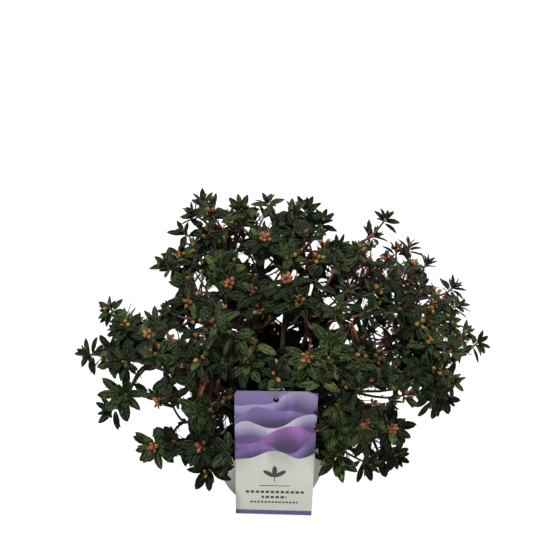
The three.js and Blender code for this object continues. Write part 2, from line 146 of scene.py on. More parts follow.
# How far along a twig, as a share of it, its direction is read.
STEP = SimpleNamespace(bough=0.02, twig=0.05, tip=0.1)

LEAF = SimpleNamespace(
    length=25.5, width=9.6, petiole=0.1, stalk=0.6, thickness=0.4, roll=0.5, roll_from=0.8
)
LEAF_COLUMNS = (-1, -0.9, -0.055, 0.055, 0.9, 1)
LEAF_ROWS = (0, 0.1, 0.24, 0.45, 0.68, 0.88, 1)
PLAIN_COLUMNS = (-1, 0, 1)
INNER_LEAF_ROWS = (0, 0.14, 0.42, 0.74, 1)
# The powers that give a leaf's outline its widest place and its fullness.
BLUNT = (1.12, 0.6)
POINTED = (0.92, 0.76)
# The forms of leaves: share of the full width, fold in degrees, droop and curl. A leaf has
# one of the first five forms, or one of the last five on a star with narrow leaves.
LEAF_FORMS = (
    (1.04, 12, 0.03, -0.16),
    (1.0, 18, 0.08, 0.0),
    (1.0, 20, 0.26, -0.14),
    (0.96, 26, 0.16, 0.2),
    (1.0, 22, -0.06, 0.14),
    (0.84, 30, 0.2, -0.2),
    (0.8, 24, 0.1, 0.25),
)
FORMS_DRAWN = 5
POINTED_SHARE = 0.35
# The sizes that a leaf is tried at, how far it turns aside at each, and where it is checked.
SECOND_TRIES = (1, 0.85, 0.7, 0.55)
TURNED_ASIDE = 2.4
CHECKED_AT = (0.3, 0.55, 0.8, 1)

# The angles of a star's lowest and highest leaves are from its axis, in degrees.
STAR = SimpleNamespace(
    leaves=(10, 14),
    gap=18,
    size=(0.78, 1.04),
    outward=0.35,
    upward=0.3,
    low=96,
    high=16,
    high_in_bunch=46,
    fan=1.3,
    depth=9,
    sag=0.1,
    turn_stray=0.4,
    spread_stray=20,
    keel_stray=0.5,
)
# A star's leaves from the lowest to the highest, and the share of young ones at its heart.
LEAF_SIZE = SimpleNamespace(lowest=1.04, highest=0.62, fall=1.6, vary=(0.9, 1.08))
HEART_LEAF = SimpleNamespace(above=0.75, young=0.22, young_in_bunch=0.5)
STAR_COUNTS = {"skirt": 11, "low": 18, "high": 17, "top": 16, "front": 11}
LEADING = SimpleNamespace(size=1.02, vary=(0.9, 1.06))
# How far each sort of star is turned towards the front, and the faces of the leaves of those
# that lead.
FACING = SimpleNamespace(rim=1.0, upright=0.5, leading=0.75, front=0.35, full=3.0)
TURNED_TO_FRONT = 0.7
# Kinds of leading stars: size, number of leaves, angle of the lowest ones, and depth.
KINDS = {
    "full": (1.14, 17, STAR.low, STAR.depth),
    "dense": (0.82, 17, STAR.low, STAR.depth),
    "slim": (0.76, 10, 78, 3.6),
}
# Other stars stay this many times as far from a full one.
FULL_GAP = 1.5
DRY_BUNCH = SimpleNamespace(leaves=9, fall=(0.7, 1.6), size=(0.6, 0.95))
# On the upper right the stars are smaller, more and closer together.
SMALL = SimpleNamespace(right_of=60, above=145, size=0.73, leading=0.82, more=2.1, closer=0.7)
# A star is deep green up to the first chance and middle green up to the second.
TONE = SimpleNamespace(deep=0.64, mid=1.0, more_low=0.06, more_young=0.2)
YOUNG = SimpleNamespace(right_of=20, below=135)
# Leaves that start above this height are pointed, and are in pieces of their own.
SPLIT_HEIGHT = 185

# Older leaves: the chance that a place is bare, how they lie, and the dry ones among them.
# Their places are shares of the way along a shoot or a tuft.
INNER = SimpleNamespace(
    bare=0.36, along=(0.2, 0.9), size=(0.75, 1.05), keel=0.5, dry=0.13, dry_size=0.8, dry_out=0.3
)
ON_SHOOT = (0.4, 0.56, 0.72)
ON_TUFT = (0.55, 0.68, 0.8, 0.88, 0.94, 0.97, 1, 1)
# Twigs that have lost their leaves, and the share of reddish bark.
BARE = SimpleNamespace(
    count=3, start=(0.2, 0.85), along=(0.3, 1.2), length=(6, 15), sway=(-1, 2), radii=(0.6, 0.35)
)
RED_SHARE = SimpleNamespace(shoot=0.55, bare=0.5)
# A single star has no bud up to the first chance and one bud up to the second. The buds'
# numbers are a least one and a number of choices.
BUD = SimpleNamespace(
    length=6.2, width=4.1, scales=0.12, stalk=2.4, stalk_length=(0.8, 1.4), stalk_radius=0.55,
    size=(0.78, 1.12), in_bunch=1.02, lean=(34, 62),
    none=0.24, single=0.66, rust=0.46, brown=0.7, few=(2, 3), golden=(2, 2), bunch=(5, 3),
)
BUD_COLOURS = ("rust", "brown", "gold")
POD = SimpleNamespace(
    length=6.6, width=2.5, scales=0.05, stalk=4.8, stalk_radius=0.45, count=9, lean=(12, 66),
    size=(0.8, 1.15),
)

# ---- The front view, which leads the outline ----

VIEW = SimpleNamespace(
    aim=Vector((-5, 0, 259)), distance=1093, pitch=math.radians(9), lens=68.15, sensor=36, frame=533
)
view_ahead = Vector((0, math.cos(VIEW.pitch), -math.sin(VIEW.pitch)))
view_up = Vector((0, math.sin(VIEW.pitch), math.cos(VIEW.pitch)))
view_eye = VIEW.aim - view_ahead * VIEW.distance
view_focal = VIEW.lens / VIEW.sensor * VIEW.frame
# How far before and behind the aim a line of sight is followed, and in what steps.
SIGHT = SimpleNamespace(reach=240, step=4)

# Places in the front view's frame, across and down. The leading stars go round the crown
# from its left tip, and every other star stays within the line through them.
OUTLINE = {
    "left wing": ((87, 354), (110, 350), (109, 308), (126, 325), (155, 322)),
    "left shoulder": ((189, 302), (167, 265), (180, 257), (184, 232)),
    "crest": (
        (193, 213), (203, 203), (214, 205), (241, 208), (267, 204), (292, 211), (306, 209), (321, 221)
    ),
    "saddle": ((339, 247), (361, 250)),
    "lone spray": ((374, 236), (385, 220), (386, 261)),
    "right shoulder": ((409, 247), (426, 264), (421, 287), (454, 287), (459, 306)),
    "right wing": ((464, 333), (478, 342), (452, 350), (453, 380), (445, 398), (436, 403), (408, 394)),
    "right foot": ((392, 427), (396, 456), (382, 458), (337, 457)),
    "left foot": ((207, 470), (154, 446), (196, 411)),
    "left hem": ((160, 400), (110, 411), (122, 394), (171, 375), (124, 362)),
}
# The groups whose stars stand more upright, the place that the crown spreads from, how far
# inside the line the other stars stay, and the share of the crown's reach that the leading
# ones stand at.
UPRIGHT = ("crest", "saddle", "lone spray", "right shoulder")
CROWN_MIDDLE = (VIEW.frame / 2, VIEW.frame * 0.64)
VIEW_MARGIN = 9
CROWN_SHARE = 0.86
# Leading stars with nothing special about them, then those with marks of their own.
PLAIN = {
    "left": ((207, 236), (220, 265), (255, 292), (259, 310), (222, 345), (156, 352), (211, 214)),
    "middle": ((295, 227), (317, 259), (339, 262), (296, 300), (337, 309), (247, 362)),
    "right": ((377, 292), (387, 280), (400, 307), (371, 310), (430, 322), (430, 342), (396, 251)),
    "middle right": ((334, 345), (329, 356), (357, 367), (382, 376), (415, 379), (436, 370)),
    "lower right": ((342, 370), (321, 379), (337, 404), (422, 367), (337, 430), (368, 463)),
    "lower left": ((212, 412), (227, 452)),
    "wings": ((170, 313), (449, 320)),
}
MARKS = {
    "bunch": {
        "upper": ((229, 284), (265, 240), (299, 302), (287, 281)),
        "left": ((149, 337), (112, 359), (201, 446), (154, 446), (189, 302), (180, 257)),
        "lower right": ((307, 357), (364, 422), (392, 427)),
    },
    "golden": {
        "left": ((109, 308), (126, 325), (200, 360)),
        "right": ((361, 250), (291, 257), (420, 324)),
        "over the tag": ((275, 377),),
    },
    "seeded": {"crest": ((203, 203), (241, 208), (207, 236)), "left shoulder": ((167, 265),)},
    "full": {
        "left": ((154, 446), (201, 446), (122, 394), (189, 302), (229, 284)),
        "right": ((364, 422), (337, 457), (307, 357), (392, 427)),
    },
    "dense": {
        "left wing": ((87, 354), (109, 308), (170, 313)),
        "crest": ((193, 213), (214, 205), (241, 208), (292, 211), (306, 209), (321, 221), (211, 214)),
        "right": ((409, 247), (426, 264), (361, 250), (339, 247), (454, 287), (339, 262), (396, 456)),
    },
    "slim": {"top": ((267, 204), (385, 220), (374, 236))},
    "fresh": {"left": ((219, 268),), "right": ((321, 379), (329, 356), (364, 422), (337, 457))},
    "withered": {
        "right": ((352, 322), (340, 318)),
        "middle": ((305, 318),),
        "lower left": ((207, 376),),
    },
}
# Gaps that show the sky, across and down with half their width and height.
GAPS = {
    "left wing": ((174, 334, 8, 3), (147, 380, 10, 8), (187, 320, 3, 3), (202, 337, 3, 2)),
    "under left wing": ((135, 362, 8, 1), (158, 373, 6, 5), (182, 367, 3, 2), (178, 389, 4, 2)),
    "left shoulder": ((199, 281, 7, 8), (214, 288, 4, 3), (201, 293, 6, 2), (223, 302, 3, 3)),
    "left rim": ((159, 284, 5, 7), (173, 291, 4, 5)),
    "left side": ((197, 325, 5, 1), (204, 262, 3, 2)),
    "left crest": ((221, 201, 2, 5), (205, 223, 3, 2), (191, 225, 3, 4), (219, 227, 2, 2)),
    "between sprays": ((235, 242, 4, 7), (246, 232, 3, 5), (243, 257, 2, 3), (219, 286, 2, 2)),
    "crest": ((260, 219, 3, 5), (270, 222, 3, 4), (280, 207, 2, 5)),
    "under crest": ((251, 261, 2, 5), (266, 265, 2, 4), (271, 260, 3, 3), (256, 273, 2, 1)),
    "middle": ((276, 270, 4, 2), (277, 277, 4, 3), (294, 275, 3, 3), (281, 319, 4, 4)),
    "left foot": ((162, 417, 24, 7), (184, 430, 7, 9), (190, 395, 5, 3), (147, 403, 6, 4)),
    "middle left": ((235, 328, 3, 4), (212, 325, 2, 3)),
    "saddle": ((305, 246, 3, 4), (314, 246, 3, 3), (319, 245, 4, 3), (328, 239, 5, 2)),
    "under saddle": ((307, 254, 3, 2), (331, 264, 3, 2), (330, 272, 4, 3), (304, 266, 2, 2)),
    "upper middle": ((306, 277, 3, 1), (322, 283, 3, 3), (311, 287, 1, 3), (311, 295, 2, 2)),
    "upper right": ((361, 271, 5, 5), (374, 254, 6, 4), (377, 246, 3, 3), (386, 272, 4, 3)),
    "right shoulder": ((400, 258, 1, 2), (415, 261, 3, 3), (405, 277, 3, 3), (434, 274, 4, 6)),
    "right middle": ((327, 301, 3, 2), (332, 297, 2, 1), (350, 282, 4, 3), (353, 302, 2, 1)),
    "right": ((366, 292, 2, 1), (364, 300, 1, 1), (423, 302, 2, 3), (441, 292, 5, 5)),
    "right side": ((431, 300, 3, 2), (415, 305, 2, 2), (396, 315, 2, 2), (421, 315, 3, 1)),
    "right lower": ((335, 319, 2, 2), (334, 327, 5, 3), (349, 342, 3, 2), (380, 347, 4, 2)),
    "under right": ((377, 337, 6, 4), (393, 331, 3, 3), (395, 341, 3, 2), (460, 368, 7, 4)),
    "right foot": ((373, 396, 16, 8), (408, 413, 7, 5)),
    "low right": ((375, 445, 3, 6), (361, 456, 3, 3), (349, 453, 2, 3)),
}
# Leaves keep this far outside a gap.
GAP_MARGIN = 1.5
# Hollows, where the leaves on the near side leave the dark inside of the crown in sight.
HOLLOWS = {
    "over the tag": ((288, 336, 25, 10), (262, 330, 8, 7), (312, 345, 7, 7)),
    "beside the tag": ((216, 392, 8, 9), (222, 420, 7, 14), (326, 398, 5, 6)),
}
# Only what is nearer to the front than this keeps out of the hollows.
HOLLOW_FRONT = -18
# What stands before a leading star this near in the frame, by more than this depth, hides it.
SHOWN = SimpleNamespace(marks={"bunch", "full", "fresh"}, near=18, depth=4)

# ---- Numbers drawn at random, always the same ----


def seeded(seed):
    """A repeatable stream of numbers from 0 to 1, the same one that laid out the solids."""
    state = seed

    def draw():
        nonlocal state
        state = (state + 0x6D2B79F5) & 0xFFFFFFFF
        mixed = (state ^ (state >> 15)) * (state | 1) & 0xFFFFFFFF
        mixed ^= mixed + ((mixed ^ (mixed >> 7)) * (mixed | 61) & 0xFFFFFFFF) & 0xFFFFFFFF
        return (mixed ^ (mixed >> 14)) / 4294967296

    return draw


def lerp(a, b, share):
    return a + (b - a) * share


def between(draw, low, high):
    return lerp(low, high, draw())


# ---- Curves and directions ----


def bezier(*handles):
    """A Bezier curve of any degree as a function of 0 to 1."""

    def at(share):
        points = list(handles)
        while len(points) > 1:
            points = [a.lerp(b, share) for a, b in zip(points, points[1:])]
        return points[0]

    return at


def through(*points):
    """A centripetal Catmull-Rom curve through its points as a function of 0 to 1."""
    before = 2 * points[0] - points[1]
    after = 2 * points[-1] - points[-2]
    padded = [before, *points, after]

    def at(share):
        place = min(share * (len(points) - 1), len(points) - 1 - 1e-9)
        first = int(place)
        p0, p1, p2, p3 = padded[first : first + 4]
        d0, d1, d2 = (math.sqrt((b - a).length) for a, b in ((p0, p1), (p1, p2), (p2, p3)))
        leave = ((p1 - p0) / d0 - (p2 - p0) / (d0 + d1) + (p2 - p1) / d1) * d1
        arrive = ((p2 - p1) / d1 - (p3 - p1) / (d1 + d2) + (p3 - p2) / d2) * d1
        t = place - first
        bend = -3 * p1 + 3 * p2 - 2 * leave - arrive
        swell = 2 * p1 - 2 * p2 + leave + arrive
        return p1 + leave * t + bend * t**2 + swell * t**3

    return at


def evened(curve, steps=200):
    """The same curve with its shares measured along its length."""
    marks = [curve(i / steps) for i in range(steps + 1)]
    lengths = np.cumsum([0] + [(b - a).length for a, b in zip(marks, marks[1:])])

    def at(share):
        return curve(float(np.interp(share * lengths[-1], lengths, np.linspace(0, 1, steps + 1))))

    return at


def heading(line, share, before, after):
    """The direction of a line, read from a little before a share of it to a little after."""
    return (line(min(1, share + after)) - line(share - before)).normalized()


def square_to(axis):
    """Two directions square to an axis."""
    aside = UP if abs(axis.z) < 0.9 else RIGHT
    u = aside.cross(axis).normalized()
    return u, axis.cross(u)


def aside_from(axis, turn):
    """The direction square to an axis at a turn round it."""
    u, v = square_to(axis)
    return u * math.cos(turn) + v * math.sin(turn)


def leaning(axis, turn, lean):
    """An axis tipped over by a lean, to the side at a turn round it."""
    return axis * math.cos(lean) + aside_from(axis, turn) * math.sin(lean)


# ---- The crown's layout ----


def reach_at(height, azimuth):
    """How far the crown reaches from the axis at a height and an azimuth."""
    heights, left, right, depth = zip(*REACH)
    across = np.interp(height, heights, left if math.cos(azimuth) < 0 else right)
    deep = np.interp(height, heights, depth)
    return 1 / math.hypot(math.cos(azimuth) / across, math.sin(azimuth) / deep)


def reach_towards(point):
    """How far the crown reaches at a point's height and on its side."""
    return reach_at(point.z, math.atan2(point.y, point.x))


def with_stem(mass, outward):
    mass.outward = outward
    mass.entry = mass.centre - outward * STEM.entry * mass.size
    mass.hub = mass.centre - outward * STEM.hub * mass.size
    return mass


def lay_out_masses():
    draw = seeded(11)
    stray = lambda: 2 * draw() - 1
    masses = []
    for ring in TIERS:
        for index in range(ring.count):
            step = (360 - ring.gap) / (ring.count - 1 if ring.gap else ring.count)
            even = 270 + ring.gap / 2 + ring.turn + index * step
            azimuth = math.radians(even + stray() * UNEVEN.turn / 2)
            height = ring.height + ring.tilt * math.cos(azimuth) + stray() * UNEVEN.height / 2
            size = ring.size * (1 + stray() * UNEVEN.size)
            leaf_reach = SOLID_LEAF.reach * SOLID_LEAF.length
            out = reach_at(height, azimuth) - SHOOT.reach * size - leaf_reach
            centre = Vector((out * math.cos(azimuth), out * math.sin(azimuth), height))
            mass = SimpleNamespace(
                name=f"{ring.name}_{index + 1}", tier=ring, index=index, azimuth=azimuth
            )
            mass.centre, mass.size = centre, size
            masses.append(with_stem(mass, (centre - HEART).normalized()))
    front = SimpleNamespace(name="front_1", tier=FRONT, index=0, azimuth=math.radians(270))
    front.centre, front.size = FRONT.centre, FRONT.size
    masses.append(with_stem(front, (FRONT.centre - HOOK).normalized()))
    for order, mass in enumerate(masses):
        mass.seed = 100 + order
    return masses


masses = lay_out_masses()

trunk_foot = Vector((0, 0, SOIL.top + CLEAR))
trunk_top = Vector((*TRUNK.lean, trunk_foot.z + TRUNK.height))
trunk_line = bezier(
    trunk_foot, Vector((0, 0, lerp(trunk_foot.z, trunk_top.z, 0.5))), trunk_top
)


def trunk_radius(along):
    flare = (TRUNK.flare - TRUNK.waist) * math.exp(-along * TRUNK.fade)
    return lerp(TRUNK.waist, TRUNK.tip, along) + flare


def on_trunk(height):
    return trunk_line((height - trunk_foot.z) / (trunk_top.z - trunk_foot.z))


def bough_line(start, mass):
    """A bough leaves outwards at its tier's slope, and comes in along the mass's stem."""
    handle = (mass.entry - start).length * BOUGH.handle
    away = Vector((math.cos(mass.azimuth), math.sin(mass.azimuth), mass.tier.rise)).normalized()
    return bezier(start, start + away * handle, mass.entry - mass.outward * handle, mass.entry)


def lay_out_boughs():
    """Gives each mass the line of its bough."""
    in_tier = lambda name: [mass for mass in masses if mass.tier.name == name]
    for mass in in_tier("low") + in_tier("high") + in_tier("top"):
        place = mass.index * SPIRAL.places % mass.tier.count
        start = on_trunk(mass.tier.root + place / mass.tier.count * SPIRAL.climb)
        mass.bough = evened(bough_line(start, mass))
    free = in_tier("low")
    for mass in in_tier("skirt"):
        parent = min(free, key=lambda low: (low.centre - mass.centre).length)
        free.remove(parent)
        mass.bough = evened(bough_line(parent.bough(LATERAL), mass))
    (front,) = in_tier("front")
    start = in_tier("low")[0].bough(FRONT.leaves)
    swing = start + (HOOK - start) * FRONT.swing
    front.bough = evened(through(start, swing, HOOK, front.entry))


lay_out_boughs()

# ---- Room for the leaves ----

hole = Vector((HOOK.x, HOOK.y + TAG.set_back, TAG.hole_height))
card_up = Vector((0, -math.sin(TAG.lean), math.cos(TAG.lean)))
card_out = Vector((0, -math.cos(TAG.lean), -math.sin(TAG.lean)))
card_head = hole + card_up * (TAG.hole_drop + OPEN.above)


def hides_tag(point):
    """Whether a point is in the way of the tag, seen from the front."""
    if abs(point.x - HOOK.x) > TAG.width / 2 + OPEN.aside:
        return False
    ahead = (point - hole).dot(card_out) > -OPEN.behind
    return ahead and point.z < card_head.z + (card_head.y - point.y) * OPEN.rise


def meets_tie(point):
    return (
        abs(point.x - HOOK.x) < TIE.bar / 2 + ROOM.tie
        and abs(point.y - HOOK.y) < 2 * TIE.bend
        and hole.z < point.z < HOOK.z + TIE.bend
    )


def meets_pot(point):
    aside = math.hypot(point.x, point.y)
    in_belly = math.hypot(aside, point.z - POT.belly_height) < POT.belly + ROOM.belly
    return in_belly or (aside < POT.belly and point.z < SOIL.top + ROOM.soil)


def is_free(point):
    return point.z > ROOM.floor and not (hides_tag(point) or meets_tie(point) or meets_pot(point))


def in_space(mass, point):
    """Whether a point is nearer to a mass than to any other, each by its own size."""
    for other in masses:
        if other is mass:
            continue
        apart = other.centre - mass.centre
        distance = apart.length
        border = (distance**2 + mass.size**2 - other.size**2) / (2 * distance)
        if (point - mass.centre).dot(apart) / distance > border - CELL_MARGIN:
            return False
    return True


# ---- The outline from the front ----


def seen_at(point):
    """Where in its frame the front view sees a point."""
    way = point - view_eye
    scale = view_focal / way.dot(view_ahead)
    return VIEW.frame / 2 + way.x * scale, VIEW.frame / 2 - way.dot(view_up) * scale


def nearness(point):
    """How near to the front view a point is."""
    return -(point - view_eye).dot(view_ahead)


def on_crown(across, down, share):
    """Where a line of sight first comes within a share of the crown's reach, or else where
    it passes the crown most closely."""
    side = Vector((across - VIEW.frame / 2, 0, 0))
    ray = (view_ahead * view_focal + side + view_up * (VIEW.frame / 2 - down)).normalized()
    nearest, least = None, math.inf
    for step in range(-SIGHT.reach, SIGHT.reach + 1, SIGHT.step):
        point = view_eye + ray * (VIEW.distance + step)
        ratio = math.hypot(point.x, point.y) / reach_towards(point)
        if ratio < least:
            nearest, least = point, ratio
        if ratio < share:
            break
    return nearest


def places(groups):
    return [place for group in groups.values() for place in group]


outline = places(OUTLINE)
gaps = np.array(places(GAPS), float)
hollows = np.array(places(HOLLOWS), float)


def in_outline(point):
    """Whether the front view sees a point well inside the line through the leading stars."""
    across, down = seen_at(point)
    from_middle = across - CROWN_MIDDLE[0], down - CROWN_MIDDLE[1]
    away = math.hypot(*from_middle)
    across += from_middle[0] / away * VIEW_MARGIN
    down += from_middle[1] / away * VIEW_MARGIN
    inside = False
    for (x1, y1), (x2, y2) in zip(outline, outline[1:] + outline[:1]):
        if (y1 > down) != (y2 > down) and across < x1 + (down - y1) / (y2 - y1) * (x2 - x1):
            inside = not inside
    return inside


def in_gap(point, margin=0):
    """Whether the front view sees a point in a gap or a hollow, or close beside one."""
    rounds = np.vstack((gaps, hollows)) if point.y < HOLLOW_FRONT else gaps
    off = (np.array(seen_at(point)) - rounds[:, :2]) / (rounds[:, 2:] + margin)
    return bool((np.hypot(*off.T) < 1).any())


# ---- Shoots ----


def shoot_tips(mass):
    """The tips of a mass's first shoots, where the solids have them."""
    draw = seeded(mass.seed)
    stray = lambda most: (2 * draw() - 1) * most
    start = draw() * FULL_TURN
    tips = []
    for k in range(mass.tier.shoots):
        cosine = 1 - SHOOT.cap * (k + 0.5) / mass.tier.shoots + stray(SHOOT.cap_jitter)
        sine = math.sqrt(1 - cosine**2)
        turn = start + k * GOLDEN_ANGLE + stray(SHOOT.turn_jitter)
        reach = mass.size * SHOOT.reach * (1 + stray(SHOOT.reach_jitter))
        way = mass.outward * cosine + aside_from(mass.outward, turn) * sine
        tips.append(mass.centre + way * reach)
    return tips


def shoot_between(root, leave, tip, draw, radii, marks=(), facing=0):
    """A shoot that bows away from the straight line and turns up a little towards its tip."""
    way = tip - root
    length = way.length
    u, v = square_to(way.normalized())
    sway = (u * (draw() - 0.5) + v * (draw() - 0.5)) * length * 2 * TWIG.bow
    arrive = (way.normalized() + UP * TWIG.upturn).normalized()
    low = root + leave.normalized() * length * TWIG.handle + sway * TWIG.sway
    high = tip - arrive * length * TWIG.handle + sway
    line = bezier(root, low, high, tip)
    axis = heading(line, 1, STEP.tip, 0)
    return SimpleNamespace(line=line, tip=tip, axis=axis, radii=radii, marks=marks, facing=facing)


def share_out_leaders():
    """Gives each leading star to the mass whose space it is in."""
    for mass in masses:
        mass.leaders = []
    marked = {name: places(groups) for name, groups in MARKS.items()}
    upright = places({name: OUTLINE[name] for name in UPRIGHT})
    for place in dict.fromkeys(outline + places(PLAIN) + places(marked)):
        tip = on_crown(*place, CROWN_SHARE)
        if not is_free(tip):
            continue
        owner = min(masses, key=lambda mass: (tip - mass.centre).length_squared - mass.size**2)
        marks = {name for name, group in marked.items() if place in group}
        facing = FACING.rim if place in outline else FACING.leading
        facing = FACING.upright if place in upright else facing
        facing = FACING.full if "full" in marks else facing
        owner.leaders.append(SimpleNamespace(tip=tip, marks=marks, facing=facing))


share_out_leaders()
shown = [
    (leader.tip, seen_at(leader.tip))
    for mass in masses
    for leader in mass.leaders
    if SHOWN.marks & leader.marks
]


def hides_leader(point):
    """Whether a star here would stand before a leading star that has to show."""
    across, down = seen_at(point)
    for tip, (x, y) in shown:
        near = math.hypot(across - x, down - y) < SHOWN.near
        if near and nearness(point) > nearness(tip) + SHOWN.depth:
            return True
    return False


def is_small(point):
    """Whether a place is on the upper right, where the stars are small and close together."""
    return point.x > SMALL.right_of and point.z > SMALL.above


def has_room(mass, shoots, tip):
    """Whether a mass may have another star at a tip, in its own space, inside the outline,
    clear of all that has to show, and apart from the stars that it has."""
    closer = SMALL.closer if is_small(tip) else 1
    gap = lambda shoot: STAR.gap * (FULL_GAP if "full" in shoot.marks else 1) * closer
    return (
        in_space(mass, tip)
        and is_free(tip)
        and in_outline(tip)
        and not in_gap(tip)
        and not hides_leader(tip)
        and all((shoot.tip - tip).length > gap(shoot) for shoot in shoots)
    )


def grow_spurs(mass, shoots, draw):
    """Adds side shoots to a mass's shoots until it has its number of stars."""
    wanted = STAR_COUNTS[mass.tier.name]
    if is_small(mass.centre):
        wanted = round(wanted * SMALL.more)
    tries = 0
    while len(shoots) < wanted and tries < SPREAD_OF_MASS.tries * wanted:
        tries += 1
        parent = shoots[int(draw() * len(shoots))]
        start = between(draw, *SPUR.start)
        root = parent.line(start)
        along = heading(parent.line, start, 0, STEP.twig)
        turn = draw() * FULL_TURN
        spread = math.radians(between(draw, *SPUR.spread))
        way = leaning(along, turn, spread) + mass.outward * SPUR.outward + UP * SPUR.upward
        tip = root + way.normalized() * between(draw, *SPUR.length)
        most = mass.size * SPREAD_OF_MASS.reach + SPREAD_OF_MASS.beyond
        if (tip - mass.centre).length <= most and has_room(mass, shoots, tip):
            shoots.append(shoot_between(root, way, tip, draw, TWIG.spur))


def grow_mass(mass):
    """The shoots of a mass: the leading ones, the first ones of the solids, then spurs on
    them, each with a star of leaves at its tip."""
    draw = seeded(mass.seed + 2000)
    shoots = []
    for leader in mass.leaders:
        root = mass.hub - mass.outward * between(draw, *LEADER_ROOT)
        leave = mass.outward + (leader.tip - root).normalized()
        shoots.append(
            shoot_between(root, leave, leader.tip, draw, TWIG.main, leader.marks, leader.facing)
        )
    for k, wanted in enumerate(shoot_tips(mass)):
        root = mass.hub - mass.outward * (SHOOT.first + k * SHOOT.apart)
        for share in SHORTENED:
            tip = root.lerp(wanted, share)
            if has_room(mass, shoots, tip):
                leave = mass.outward + (tip - root).normalized()
                shoots.append(shoot_between(root, leave, tip, draw, TWIG.main))
                break
    if mass.tier.name == "top":
        for share in MIDDLE.shares:
            rise = MIDDLE.rise * between(draw, *MIDDLE.lift)
            tip = Vector((mass.hub.x * share, mass.hub.y * share, mass.hub.z + rise))
            if has_room(mass, shoots, tip):
                shoots.append(shoot_between(mass.hub, mass.outward, tip, draw, TWIG.spur))
    grow_spurs(mass, shoots, draw)
    return shoots


def grow_tufts():
    """Short side twigs along the boughs, whose older leaves fill the crown's inside."""
    draw = seeded(71)
    tufts = []
    for mass in masses:
        count = int((mass.bough(1) - mass.bough(0)).length / TUFT.apart)
        for place in range(count):
            share = lerp(TUFT.first, 1, (place + 0.5) / count)
            root = mass.bough(share)
            along = heading(mass.bough, share, STEP.bough, STEP.bough)
            way = aside_from(along, place * GOLDEN_ANGLE + draw()) + along * TUFT.along
            tip = root + way.normalized() * between(draw, *TUFT.length)
            crowded = any((tuft.tip - tip).length < TUFT.gap for tuft in tufts)
            outside = math.hypot(tip.x, tip.y) > TUFT.reach * reach_towards(tip)
            if crowded or outside or not is_free(tip) or in_gap(tip) or not in_outline(tip):
                continue
            tufts.append(shoot_between(root, way, tip, draw, TWIG.spur))
    return tufts


for mass in masses:
    mass.shoots = grow_mass(mass)
tufts = grow_tufts()

# ---- Making meshes ----


class Shape:
    """The arrays of a small closed shape, which is copied many times."""

    def __init__(self, bm):
        bm.verts.index_update()
        self.points = np.array([vert.co for vert in bm.verts])
        self.corners = np.array([vert.index for face in bm.faces for vert in face.verts])
        self.sides = np.array([len(face.verts) for face in bm.faces])
        self.slots = np.array([face.material_index for face in bm.faces])
        bm.free()


def set_at(shape, matrix):
    """A shape moved by a matrix, as a part to be joined."""
    moved = np.array(matrix)
    return shape, shape.points @ moved[:3, :3].T + moved[:3, 3], None


def joined(name, parts):
    """One mesh of many parts, each (shape, its points in place, its own points or None)."""
    shapes, points, own = zip(*parts)
    starts = np.cumsum([0] + [len(p) for p in points[:-1]])
    sides = np.concatenate([shape.sides for shape in shapes])
    corners = np.concatenate([shape.corners + start for shape, start in zip(shapes, starts)])
    mesh = bpy.data.meshes.new(name)
    mesh.vertices.add(sum(len(p) for p in points))
    mesh.loops.add(len(corners))
    mesh.polygons.add(len(sides))
    mesh.vertices.foreach_set("co", (np.concatenate(points) * MM).ravel())
    mesh.loops.foreach_set("vertex_index", corners)
    mesh.polygons.foreach_set("loop_start", np.cumsum(sides) - sides)
    mesh.polygons.foreach_set("material_index", np.concatenate([s.slots for s in shapes]))
    mesh.polygons.foreach_set("use_smooth", np.ones(len(sides), bool))
    mesh.update(calc_edges=True)
    if own[0] is not None:
        places_on_limb = mesh.attributes.new("own", "FLOAT_VECTOR", "POINT")
        places_on_limb.data.foreach_set("vector", (np.concatenate(own) * MM).ravel())
    return mesh


def mesh_of(name, bm):
    """A bmesh in millimetres as a smooth mesh in metres."""
    bmesh.ops.scale(bm, vec=(MM, MM, MM), verts=bm.verts)
    mesh = bpy.data.meshes.new(name)
    bm.to_mesh(mesh)
    bm.free()
    mesh.shade_smooth()
    return mesh


def add_piece(mesh, materials, replaces):
    piece = bpy.data.objects.new(mesh.name, mesh)
    bpy.context.scene.collection.objects.link(piece)
    for material in materials:
        mesh.materials.append(material)
    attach(piece, "root")
    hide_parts(*replaces)


def cut(bm, place, normal):
    """Cuts all that a bmesh holds along a plane, and keeps both sides."""
    everything = bm.verts[:] + bm.edges[:] + bm.faces[:]
    bmesh.ops.bisect_plane(bm, geom=everything, plane_co=place, plane_no=normal)


def spin_round(bm, steps):
    """Sweeps the line that a bmesh holds once round Z."""
    line = bm.verts[:] + bm.edges[:]
    bmesh.ops.spin(
        bm, geom=line, axis=UP, cent=(0, 0, 0), angle=FULL_TURN, steps=steps, use_merge=True
    )


@cache
def rod(sides, rings):
    """A closed rod of radius 1 from 0 to 1 along Z, cut into even rings."""
    bm = bmesh.new()
    bmesh.ops.create_cone(
        bm, cap_ends=True, segments=sides, radius1=1, radius2=1, depth=1,
        matrix=Matrix.Translation((0, 0, 0.5)),
    )
    for ring in range(1, rings):
        cut(bm, (0, 0, ring / rings), UP)
    return Shape(bm)


def taper(root, tip):
    """A limb's radius along it, as a function of 0 to 1."""
    return lambda share: lerp(root, tip, share)


